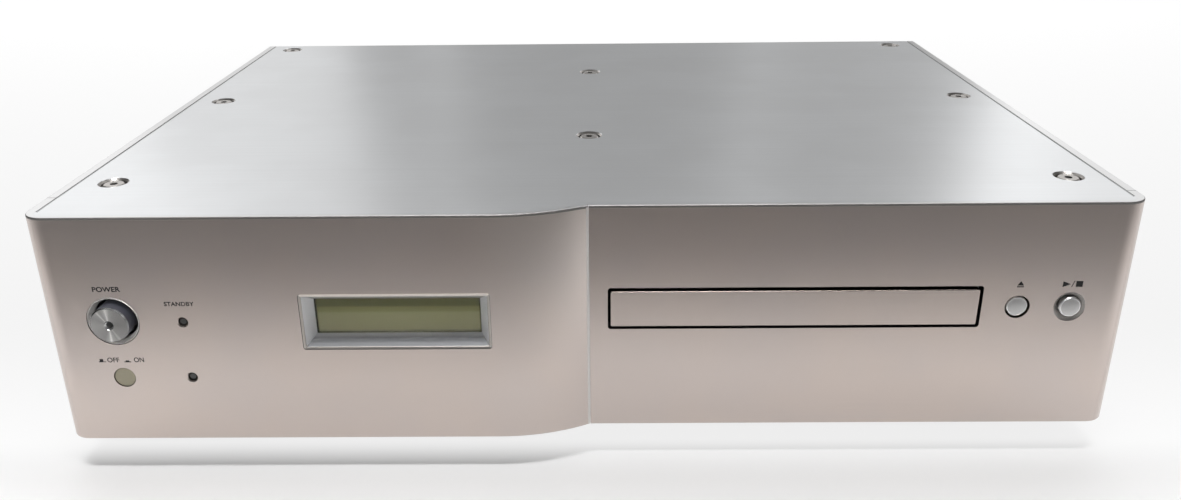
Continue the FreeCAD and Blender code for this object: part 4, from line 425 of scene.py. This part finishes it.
def ringMetal():
    # the dish round the power button: satin, so that it stays light in its recess; painted shade in its bore,
    # and on its outer rim a painted shade that is dark below and lighter above
    k = turned["ring"]
    f = Finish("turnedRing")
    middle = middleOf("power_ring")
    x, y, z = f.axes((middle[0], leftFace, middle[2]))
    radius = radiusOf(x, z)
    rings = ringsAt(f, radius)
    darker, paler = k["value"]
    colour = f.mix(rings, tone(darker, 0.04), tone(paler, 0.04))
    # painted shade on the outer rim, dark below and lighter above, and in the bore, darker with depth
    colour = f.mix(radius.above(k["rim"]), colour, f.mix(z.ramp(-4.0, 8.0), tone(0.10), tone(0.50, 0.04)))
    f.set(Base_Color=f.mix(y.ramp(*k["bore"]), colour, tone(0.02)), Metallic=0.25,
          Roughness=k["rough"] + rings * 0.08, Normal=f.bump(rings, k["depth"]))
    return f.material


def capMetal(node):
    # turned cap with fine rings and a painted highlight on its rim
    k = turned["cap"]
    f = Finish("turned" + node.split("_")[0].title())
    middle = middleOf(node)
    x, _, z = f.axes((middle[0], 0, middle[2]))
    radius = radiusOf(x, z)
    rings = ringsAt(f, radius)
    colour = f.mix(rings, tone(k["value"] * 0.95, 0.01), tone(k["value"] * 1.04, 0.01))
    # painted highlight on the rim
    f.set(Base_Color=f.mix(radius.above(k["rim"]), colour, tone(k["paintedRimHighlight"])), Metallic=1.0,
          Roughness=k["rough"], Normal=f.bump(rings, k["depth"]))
    return f.material


bezel = {   # mm behind the bezel's front; colours at the front and deep in the frame, painted light and shade by the way each slope faces
    "rim": 0.30, "deep": (2.2, 5.0), "flake": 0.12, "side": ((0.86, 0.86, 0.875), (0.96, 0.96, 0.975)),
    "foot": ((0.155, 0.16, 0.168), (0.84, 0.85, 0.88)), "head": (tone(0.50, 0.04), tone(0.22, 0.04)),
    "rimSideShading": tone(0.50, 0.07), "rimHeadHighlight": tone(0.92, 0.07), "rimFootShade": tone(0.24, 0.07),
}


def bezelMetal():
    # silver lacquer with fine flakes; foot and head are mitred against the sides, and each carries painted light
    # and shade: the head darker deep in the frame, the foot dark at the front and lightened deep inside to fill
    # its shade; the front rim is bare, with a painted highlight on its head and a painted shade on its foot
    k = bezel
    f = Finish("bezelLacquer")
    x, y, z = f.axes((0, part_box("display_bezel")[0][1], 0))
    flakes = f.grain(k["flake"])
    low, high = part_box("display_window")
    beside = (x - middleOf("display_window")[0] / mm).size() - sizeOf("display_window")[0] / 2
    under, over = low[2] / mm - z, z - high[2] / mm
    foot = under.above(0.0) * (under - beside).above(0.0)
    head = over.above(0.0) * (over - beside).above(0.0)
    deep = y.ramp(*k["deep"])
    rim = y.below(k["rim"])
    # painted shade and painted light on foot and head, by depth
    colour = f.mix(foot, f.mix(flakes, *k["side"]), f.mix(deep, *k["foot"]))
    colour = f.mix(head, colour, f.mix(deep, *k["head"]))
    # painted highlight on the rim's head, painted shade on its foot
    rimShading = f.mix(foot, f.mix(head, k["rimSideShading"], k["rimHeadHighlight"]), k["rimFootShade"])
    f.set(Base_Color=f.mix(rim, colour, rimShading), Metallic=0.35 + rim * 0.4,
          Roughness=0.46 - rim * 0.06 + flakes * 0.05, Normal=f.bump(flakes, 0.002))
    return f.material


def moulded(name, colour, roughness, coat=0.0):
    # plastic, rubber or paint with a fine moulded grain
    f = Finish(name)
    texture = f.grain(0.5)
    cloud = f.grain(20.0)
    darker = tuple(c * 0.84 for c in colour)
    f.set(Base_Color=f.mix(texture * 0.7 + cloud * 0.3, darker, colour), Roughness=roughness + texture * 0.08,
          Coat_Weight=coat, Normal=f.bump(texture, 0.02, 0.5))
    return f.material


display = {   # share of the height from the foot, colour of the unlit glass with painted shade and light: darker bands across the top and at the foot, where the bezel's shadow falls, and a lightened middle
    "shadowBands": ((0.0, (0.34, 0.315, 0.22)), (0.06, (0.52, 0.485, 0.30)), (0.16, (0.50, 0.47, 0.28)),
              (0.54, (0.46, 0.435, 0.24)), (0.60, (0.345, 0.325, 0.150)), (0.70, (0.300, 0.285, 0.118)),
              (0.76, (0.165, 0.156, 0.058)), (0.93, (0.150, 0.141, 0.050)), (1.0, (0.200, 0.186, 0.085))),
    "ends": (0.8, 0.1), "endColour": (0.03, 0.028, 0.02),      # mm from the glass's ends
}


def displayGlass():
    # unlit display: soft bands of painted shade and light up the height, dark at its left and right ends
    f = Finish("displayGlass")
    x, _, z = f.axes(middleOf("display_window"))
    width, _, height = sizeOf("display_window")
    grain = f.grain(1.4, 1 / mm, 0.5)
    # painted shade of the bezel in bands up the height
    shadowBands = ((z + height / 2) * (1 / height) + (grain - 0.5) * 0.03).colours(display["shadowBands"])
    ends = x.size().ramp(*(width / 2 - inset for inset in display["ends"]))
    f.set(Base_Color=f.mix(ends, shadowBands, display["endColour"]), Roughness=0.35 + grain * 0.1)
    return f.material


def clearWindow():
    # clear plastic with faint wiping marks
    f = Finish("clearWindow")
    marks = f.grain(12.0, 1 / mm, 3.0)
    f.set(Base_Color=f.mix(marks, (0.93, 0.95, 0.90), (0.97, 0.98, 0.95)), Roughness=0.03 + marks * 0.04,
          Transmission_Weight=1.0, IOR=1.2)
    return f.material


def receiverPlastic():
    # smoky plastic with a darker rim
    f = Finish("receiverPlastic")
    x, _, z = f.axes(middleOf("receiver_window"))
    speck = f.grain(0.5)
    rim = radiusOf(x, z).ramp(3.75, 4.05)
    colour = f.mix(speck, (0.300, 0.272, 0.192), (0.340, 0.308, 0.220))
    f.set(Base_Color=f.mix(rim, colour, (0.13, 0.12, 0.085)), Roughness=0.34 + speck * 0.06, Coat_Weight=0.2)
    return f.material


def boardFinish():
    # solder mask over copper tracks that run along the board, with bare pads
    f = Finish("greenBoard")
    tracks = f.grain(30.0, 2.2, 2.2, detail=0.0).ramp(0.50, 0.53)
    cells = f.node("ShaderNodeTexVoronoi", {}, {"Vector": f.mapped((1 / (6 * mm),) * 3)}, output="Distance")
    pads = cells.below(0.12)
    colour = f.mix(tracks, (0.012, 0.085, 0.030), (0.020, 0.15, 0.052))
    f.set(Base_Color=f.mix(pads, colour, (0.62, 0.60, 0.55)), Metallic=pads, Roughness=0.34,
          Coat_Weight=0.3 - pads * 0.3)
    return f.material


def wovenWrap():
    # tape wound round the ring core: 58 turns, slightly aslant
    f = Finish("coreTape")
    x, y, _ = f.axes(middleOf("transformer"))
    angle = x.math("ARCTAN2", y)
    turns = (angle * 58.0 + radiusOf(x, y) * 0.05).math("SINE") * 0.5 + 0.5
    f.set(Base_Color=f.mix(turns, (0.030, 0.026, 0.022), (0.085, 0.072, 0.052)), Roughness=0.38 + turns * 0.14,
          Normal=f.bump(turns, 0.12))
    return f.material


finishes = {
    "panel_aluminium": panelMetal("sideMetal", "side", 1),
    "plate_aluminium": plateMetal(),
    "turned_aluminium": plainMetal("satinCap", 0.62, 0.30),
    "bezel_aluminium": bezelMetal(),
    "screw_steel": plainMetal("screwMetal", 0.50, 0.30, 0.03),
    "frame_steel": plainMetal("zincSheet", 0.50, 0.40, -0.01, 4.0),
    "black_steel": moulded("blackPaint", tone(0.030), 0.45),
    "black_plastic": moulded("blackPlastic", tone(0.028), 0.42),
    "grey_plastic": moulded("greyPlastic", tone(0.16), 0.45),
    "tray_plastic": moulded("trayPlastic", tone(0.040), 0.45),
    "white_plastic": moulded("whitePlastic", (0.78, 0.76, 0.70), 0.40),
    "clear_window": clearWindow(),
    "lens_glass": moulded("lensGlass", (0.10, 0.13, 0.25), 0.08, 0.5),
    "receiver_plastic": receiverPlastic(),
    "lcd_glass": displayGlass(),
    "rubber": moulded("blackRubber", tone(0.022), 0.70),
    "green_board": boardFinish(),
    "copper_windings": wovenWrap(),
    "capacitor_sleeve": moulded("sleeve", (0.02, 0.035, 0.08), 0.28),
    "plated_socket": plainMetal("goldPlate", 0.60, 0.20, 0.25),
}
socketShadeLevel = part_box("top_screws")[1][2] / mm - 1.0      # the sockets of the screws carry a painted shade below it
ownFinish = {
    "left_front_panel": panelMetal("leftFrontMetal", "front", 0,
                                   [shadeRound("display_bezel", leftFace)], sheenOnBend=True),
    "right_front_panel": panelMetal("rightFrontMetal", "front", 0,
                                    [shadeRound(node, rightFace) for node in ("tray_door", "play_button")]),
    "tray_door": panelMetal("doorMetal", "front", 0),
    "power_button": powerMetal(),
    "power_ring": ringMetal(),
    "top_screws": plainMetal("socketScrew", 0.46, 0.32, 0.05, 0.3, socketShadeLevel),
    "indicator_guides": moulded("guidePlastic", tone(0.018), 0.16, 0.5),
}
slotOf = {row["node"]: row["material_slot"] for row in frame["record"]["subparts"]}
for name, obj in nodes.items():
    for place in obj.material_slots:
        place.material = ownFinish.get(name, finishes[slotOf[name]])
print("finishes made")

door = {   # mm; how far the face stands out, what is taken off its head and foot, and how it is moved
    "proud": 0.6, "trim": 0.12, "up": 0.02, "left": 0.2, "round": 0.3, "corner": 0.6, "steps": 6,
}


def roundedPath(halfWide, halfHigh, radius, steps):
    # a rectangle with round corners, anticlockwise: for each point the centre of its corner, and the way outward
    angle = np.concatenate([np.linspace(k, k + 1, steps) for k in range(4)]) * math.pi / 2
    outward = np.column_stack((np.cos(angle), np.sin(angle)))
    corner = np.repeat(np.array([(1, 1), (-1, 1), (-1, -1), (1, -1)]), steps, axis=0)
    return corner * (halfWide - radius, halfHigh - radius), outward


def makeDoor():
    # profile along a rounded path: point = corner centre + outward * (radius - inset); a quarter round runs
    # from the face, where the inset is largest, to the side
    d = door
    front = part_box("tray_door")[0][1]
    middle = middleOf("tray_door")
    width, thick, height = sizeOf("tray_door")
    centre, outward = roundedPath(width / 2, height / 2 - d["trim"], d["corner"], d["steps"])
    t = np.linspace(0, math.pi / 2, d["steps"])
    inset = np.append(d["round"] * (1 - np.sin(t)), 0.0)
    depth = np.append(d["round"] * (1 - np.cos(t)) - d["proud"], thick)
    x, z = np.moveaxis(centre + outward * (d["corner"] - inset)[:, None, None], 2, 0)
    verts = np.stack((middle[0] + (x - d["left"]) * mm, front + np.broadcast_to(depth[:, None], x.shape) * mm,
                      middle[2] + (z + d["up"]) * mm), axis=2).reshape(-1, 3)
    piece = link("door_face", verts, tubeFaces(len(depth), x.shape[1]))
    piece.data.materials.append(ownFinish["tray_door"])
    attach(piece, "tray")
    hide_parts("tray_door")


seam = {   # mm from the middle and the right face, anticlockwise from below; gaps at the foot and the head
    "outline": ((-0.90, -0.10), (0.12, 0.25), (0.10, -0.05), (-0.06, -0.15), (-0.40, -0.34), (-0.86, -0.57),
                (-0.92, -0.51)),
    "foot": 0.40, "head": 0.55,
}


def edgeMetal():
    # cut edge, painted pale as a highlight, with fine lines that run up it
    f = Finish("highlightEdge")
    speck = f.grain(0.8, 0.8, 20.0)
    f.set(Base_Color=f.mix(speck, tone(0.66, 0.03), tone(0.80, 0.03)), Metallic=0.7,
          Roughness=0.38 + speck * 0.08)
    return f.material


def makeSeam():
    # the end of the left front panel, painted pale as a highlight: a closed outline in x, y carried straight up
    x, y = np.array(seam["outline"]).T * mm
    levels = bodyBottom + seam["foot"] * mm, plateTop - seam["head"] * mm
    verts = np.concatenate([np.column_stack((x, rightFace + y, np.full(len(x), level))) for level in levels])
    piece = link("seam_edge", verts, tubeFaces(2, len(x)))
    piece.data.materials.append(edgeMetal())
    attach(piece, "cabinet")


keyCap = {   # mm: radius and depth of each ring of the domed cap, of its plain skirt, and what is behind
    "dome": ((1.2, 0.03), (2.4, 0.10), (3.2, 0.20), (3.6, 0.32), (3.86, 0.52), (3.98, 0.80), (4.0, 1.2)),
    "skirt": ((4.1, 3.6), (3.8, 3.8)), "stem": 3.8, "collar": 5.2, "collarThick": 1.0, "plunger": (1.0, 0.8),
    "sides": 48, "wider": 1.035, "sunk": {"eject_button": 0.7, "play_button": 0.0},
}


def makeCap(node):
    # profile of dome, skirt, stem, collar and plunger carried round the button's axis: x = r cos t, z = r sin t
    k = keyCap
    low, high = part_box(node)
    middle = middleOf(node)
    sunk, length = k["sunk"][node], sizeOf(node)[1]
    radius, reach = k["plunger"]
    back = length - reach
    front = back - k["collarThick"]
    profile = tuple((r * k["wider"], depth + sunk) for r, depth in k["dome"]) + k["skirt"]
    profile += (k["stem"], front), (k["collar"], front), (k["collar"], back), (radius, back), (radius, length)
    r, depth = np.array(profile).T[:, :, None] * mm
    turn = np.linspace(0, math.tau, k["sides"], endpoint=False)
    x, z = middle[0] + r * np.cos(turn), middle[2] + r * np.sin(turn)
    verts = np.stack((x, np.broadcast_to(low[1] + depth, x.shape), z), axis=2)
    poles = [(middle[0], low[1] + sunk * mm, middle[2]), (middle[0], high[1], middle[2])]
    piece = link(node.replace("button", "cap"), np.concatenate((verts.reshape(-1, 3), poles)),
                 tubeFaces(len(profile), k["sides"], poles=True))
    piece.data.shade_smooth()
    piece.data.materials.append(capMetal(node))
    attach(piece, node)
    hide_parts(node)


plan = {   # mm, from the cabinet's middle and the left face
    "half": 210.0, "swoop": (-36.0, 74.327), "step": 9.3, "corner": 8.5,
    "wall": (2.0, 3.8), "plate": (2.3, 4.8),      # how far the joint's two sides are set in, front and side
    "sideStart": 6.7, "sideEnd": 313.9,
}
strip = {   # mm; strips of painted light that cover the shaded joint; top and bottom are measured down from the plate's top
    "front": (0.015, 1.0), "side": (0.14, 1.2), "broken": (-7.6, -6.8),
    "seamHalf": 0.14, "seamEnds": (11.4, 9.45),
}


def planAt(insets):
    # the outline of what stands inside the walls, from left to right: a quarter round, the flat front, the arc
    # y = bow - sqrt(radius^2 - (x - start)^2), the flat front behind the step, and a quarter round
    front, side = insets
    half, corner = plan["half"] - side, plan["corner"] - side
    start, bow = plan["swoop"]
    radius = bow - front
    right = plan["step"] + front
    meet = start + math.sqrt(radius ** 2 - (bow - right) ** 2)
    arc = np.linspace(0, math.pi / 2, 8)
    first = np.column_stack((-half + corner * (1 - np.cos(arc)), front + corner * (1 - np.sin(arc))))
    flat = np.column_stack((np.linspace(-half + corner, start, 12), np.full(12, front)))
    x = np.linspace(start, meet, 24)
    curved = np.column_stack((x, bow - np.sqrt(radius ** 2 - (x - start) ** 2)))
    behind = np.column_stack((np.linspace(meet, half - corner, 14), np.full(14, right)))
    last = np.column_stack((half - corner * (1 - np.sin(arc)), right + corner * (1 - np.cos(arc))))
    return np.concatenate((first, flat[1:], curved[1:], behind[1:], last[1:]))


def gapLightMetal(name, value, metal):
    # strip with fine lines that run across the cabinet, painted light over a shaded gap
    f = Finish(name)
    speck = f.grain(120.0, 0.6, 0.6)
    f.set(Base_Color=f.mix(speck, tone(value * 0.96, -0.01), tone(value * 1.04, -0.01)), Metallic=metal,
          Roughness=0.30 + speck * 0.06)
    return f.material


def makeStrip(name, outer, inner, levels, finish):
    # four edges carried along two outlines, the outer one on the right of the way
    top, bottom = (np.full(len(outer), plateTop / mm - level) for level in levels)
    edges = (outer, top), (inner, top), (inner, bottom), (outer, bottom)
    verts = np.stack([np.column_stack(edge) for edge in edges], axis=1).reshape(-1, 3) * mm
    verts[:, 1] += leftFace
    piece = link(name, verts, tubeFaces(len(outer), 4))
    piece.data.materials.append(finish)
    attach(piece, "cabinet")


def makeStrips():
    # strips of painted light in the joint between the walls and the top plate, where the gap is in shade: bright
    # along the front and the seam, grey along the sides
    bright, grey = gapLightMetal("brightGapLight", 0.76, 1.0), gapLightMetal("greyGapLight", 0.30, 0.0)
    wall, plate = planAt(plan["wall"]), planAt(plan["plate"])
    left, right = strip["broken"]
    for name, chosen in (("gap_light_front_left", wall[:, 0] < left), ("gap_light_front_right", wall[:, 0] > right)):
        makeStrip(name, wall[chosen], plate[chosen], strip["front"], bright)
    outer, inner = (np.array([(sign * strip["seamHalf"], y) for y in strip["seamEnds"]]) for sign in (-1, 1))
    makeStrip("gap_light_seam", outer, inner, strip["front"], bright)
    ends = (plan["sideEnd"], plan["sideStart"]), (plan["sideStart"] + plan["step"], plan["sideEnd"])
    for name, sign, (start, end) in (("gap_light_left", -1, ends[0]), ("gap_light_right", 1, ends[1])):
        outer, inner = (np.array([(sign * (plan["half"] - plan[edge][1]), y) for y in (start, end)])
                        for edge in ("wall", "plate"))
        makeStrip(name, outer, inner, strip["side"], grey)


makeDoor()
makeSeam()
makeCap("eject_button")
makeCap("play_button")
makeStrips()
print("door, seam, caps and strips made")

lettering = {
    "proud": 0.02, "worn": 0.25,        # height above the panel and grain of the ink, in mm
    "words": (   # word, its left, right, foot and head in mm on the front face, boldness and weld in type sizes
        ("POWER", -187.6, -177.0, 65.0, 67.1, 0.024, 0.00001),
        ("STANDBY", -161.4, -150.0, 58.9, 60.7, 0.020, 0.007),      # the bold waist of its B is welded shut
        ("OFF", -187.5, -182.8, 34.8, 36.9, 0.014, 0.00001),
        ("ON", -177.1, -173.2, 34.8, 36.9, 0.014, 0.00001),
    ),
}
symbols = {   # outlines in mm on the front faces, anticlockwise
    "offKey": (leftFace, ((-190.9, 34.9), (-188.1, 34.9), (-188.1, 35.2), (-189.1, 35.2), (-189.1, 36.3),
                          (-190.5, 36.3), (-190.5, 35.2), (-190.9, 35.2))),
    "onKey": (leftFace, ((-181.0, 34.8), (-178.3, 34.8), (-178.3, 35.15), (-179.0, 35.15), (-179.0, 35.65),
                         (-180.4, 35.65), (-180.4, 35.15), (-181.0, 35.15))),
    "ejectArrow": (rightFace, ((164.5, 61.15), (167.1, 61.15), (165.8, 63.0))),
    "ejectBar": (rightFace, ((164.5, 60.4), (167.1, 60.4), (167.1, 60.85), (164.5, 60.85))),
    "playArrow": (rightFace, ((181.9, 60.45), (184.9, 61.65), (181.9, 62.85))),
    "slash": (rightFace, ((185.2, 60.45), (185.5, 60.45), (186.4, 62.95), (186.1, 62.95))),
    "stopSquare": (rightFace, ((186.9, 60.45), (189.5, 60.45), (189.5, 62.9), (186.9, 62.9))),
}


def inked():
    # dull black ink, a little worn
    f = Finish("printInk")
    worn = f.grain(lettering["worn"])
    f.set(Base_Color=f.mix(worn, tone(0.008), tone(0.022)), Roughness=0.6, Specular_IOR_Level=0.3)
    return f.material


ink = inked()


def printed(piece):
    piece.data.materials.clear()
    piece.data.materials.append(ink)
    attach(piece, "cabinet")


def typeMesh(word, bold, weld):
    # a text turned to a mesh, its faces and sides welded into closed letters
    curve = bpy.data.curves.new(word, "FONT")
    curve.body = word
    curve.extrude = 0.5
    curve.offset = bold
    text = bpy.data.objects.new(word, curve)
    bpy.context.scene.collection.objects.link(text)
    bpy.context.view_layer.update()
    mesh = bpy.data.meshes.new_from_object(text)
    bpy.data.objects.remove(text)
    letters = bmesh.new()
    letters.from_mesh(mesh)
    bmesh.ops.remove_doubles(letters, verts=letters.verts, dist=weld)
    bmesh.ops.recalc_face_normals(letters, faces=letters.faces)
    letters.to_mesh(mesh)
    letters.free()
    return mesh


def makeWord(word, left, right, foot, head, bold, weld):
    # the type's own box, stretched into its rectangle on the left face
    mesh = typeMesh(word, bold, weld)
    at = np.empty(len(mesh.vertices) * 3)
    mesh.vertices.foreach_get("co", at)
    at = at.reshape(-1, 3)
    low, high = at.min(0), at.max(0)
    across, up, out = ((at - low) / (high - low)).T
    placed = np.column_stack(((left + across * (right - left)) * mm, leftFace - out * lettering["proud"] * mm,
                              bodyBottom + (foot + up * (head - foot)) * mm))
    mesh.vertices.foreach_set("co", placed.ravel())
    mesh.update()
    piece = bpy.data.objects.new("print_" + word.lower(), mesh)
    bpy.context.scene.collection.objects.link(piece)
    printed(piece)


def makeSymbol(name, face, outline):
    # an outline in x, z carried a little to the front of its face
    x, z = np.array(outline).T * mm
    levels = face - lettering["proud"] * mm, face
    verts = np.concatenate([np.column_stack((x, np.full(len(x), y), bodyBottom + z)) for y in levels])
    printed(link("print_" + name, verts, tubeFaces(2, len(x))))


for word in lettering["words"]:
    makeWord(*word)
for name, (face, outline) in symbols.items():
    makeSymbol(name, face, outline)
print("front marked")

studio = {
    "floor": {"colour": 0.90, "half": 7.0}, "worldGrey": 0.09,
    "white": {"share": 0.84, "back": (-172.0, -140.0), "front": (-1300.0, -800.0), "side": (450.0, 900.0)},
    "backdrop": {"ends": ((5.2, 0.6), (4.6, -3.2), (0.6, -4.6), (-2.6, -4.8)), "high": 2.4,      # metres
                 "seen": 0.42, "paper": 1000 / 12},
    "softboxes": {   # place, aim, width, height in metres, brightness and spread in degrees
        "backLeft": ((-1.55, 1.6, 0.95), (0, 0.1, 0.1), 1.3, 1.3, 1.16, 180),
        "backLeftInner": ((-0.85, 2.1, 0.95), (0, 0.1, 0.1), 0.5, 1.3, 0.82, 180),
        "backLeftSoft": ((-0.50, 2.24, 0.95), (0, 0.1, 0.1), 0.26, 1.3, 0.30, 180),
        "backMiddle": ((0.0, 2.4, 1.1), (0, 0, 0.1), 1.0, 1.3, 0.31, 180),
        "backRightInner": ((0.80, 2.18, 0.95), (0, 0.1, 0.1), 0.85, 1.3, 0.35, 180),
        "backRight": ((1.53, 1.76, 0.95), (0, 0.1, 0.1), 1.33, 1.3, 0.98, 180),
        "overheadBack": ((0.0, 1.3, 1.9), (0, 1.2, 0), 2.8, 1.4, 1.5, 84),
        "nearStrip": ((0.0, -0.215, 0.50), (0, -0.205, 0), 1.0, 0.05, 2.9, 38),
    },
    "snoots": {      # place, aim, radius of the spot in metres, and power
        "ringSpot": ((-0.05, -1.30, 0.46), (-0.182, -0.158, 0.0666), 0.020, 200.0),
        "keySpot": ((0.10, -1.30, 0.46), (0.186, -0.150, 0.066), 0.014, 60.0),
        "displaySpot": ((-0.02, -1.30, 0.46), (-0.074, -0.158, 0.0659), 0.050, 12.0),
    },
    "snootSoft": 0.05, "snootBlend": 0.5,
}


def makeFloor():
    # pale floor that turns white where it is looked at, apart from a soft patch before the object (limits in mm)
    half = studio["floor"]["half"]
    corners = [(-half, -half, 0), (half, -half, 0), (half, half, 0), (-half, half, 0)]
    floor = link("floor", corners, [(0, 1, 2, 3)])
    f = Finish("floorPaint")
    f.set(Base_Color=tone(studio["floor"]["colour"]), Roughness=0.9, Specular_IOR_Level=0.0)
    x, y, _ = f.axes()
    white = studio["white"]
    pale = y.ramp(*white["back"]).larger(1 - y.ramp(*white["front"])).larger(x.size().ramp(*white["side"]))
    f.whitened(f.seen() * pale * white["share"], 1.0)
    floor.data.materials.append(f.material)


def makeBackdrop():
    # upright card round the front, out of the camera's view: dark to the lamps, grey where it is looked at
    wall = studio["backdrop"]
    verts = [(x, y, z) for z in (0.0, wall["high"]) for x, y in wall["ends"]]
    count = len(wall["ends"])
    card = link("backdrop", verts, [(k, k + 1, k + 1 + count, k + count) for k in range(count - 1)])
    f = Finish("backdropPaper")
    paper = f.grain(wall["paper"])
    f.set(Base_Color=f.mix(paper, tone(0.05), tone(0.06)), Roughness=0.9, Specular_IOR_Level=0.0)
    f.whitened(f.seen(), wall["seen"])
    card.data.materials.append(f.material)


def makeWorld():
    world = bpy.data.worlds.new("studio")
    world.use_nodes = True
    world.node_tree.nodes["Background"].inputs["Color"].default_value = tone(studio["worldGrey"]) + (1,)
    bpy.context.scene.world = world


def placeLamp(name, data, place, aim):
    lamp = bpy.data.objects.new(name, data)
    lamp.location = place
    lamp.rotation_euler = (Vector(aim) - Vector(place)).to_track_quat("-Z", "Y").to_euler()
    lamp.visible_camera = False
    bpy.context.scene.collection.objects.link(lamp)


def makeSoftboxes():
    # the power of a softbox follows from its brightness and size
    for name, (place, aim, width, height, brightness, spread) in studio["softboxes"].items():
        data = bpy.data.lights.new(name, "AREA")
        data.spread = math.radians(spread)
        data.shape = "RECTANGLE"
        data.size = width
        data.size_y = height
        data.energy = brightness * math.pi * width * height
        placeLamp(name, data, place, aim)


def makeSnoots():
    # narrow soft spots on the deep recesses of the front
    for name, (place, aim, radius, power) in studio["snoots"].items():
        data = bpy.data.lights.new(name, "SPOT")
        data.spot_size = 2 * math.atan(radius / (Vector(aim) - Vector(place)).length)
        data.spot_blend = studio["snootBlend"]
        data.shadow_soft_size = studio["snootSoft"]
        data.energy = power
        placeLamp(name, data, place, aim)


makeFloor()
makeBackdrop()
makeWorld()
makeSoftboxes()
makeSnoots()
bpy.context.scene.view_settings.view_transform = "Standard"
print("stage lit")
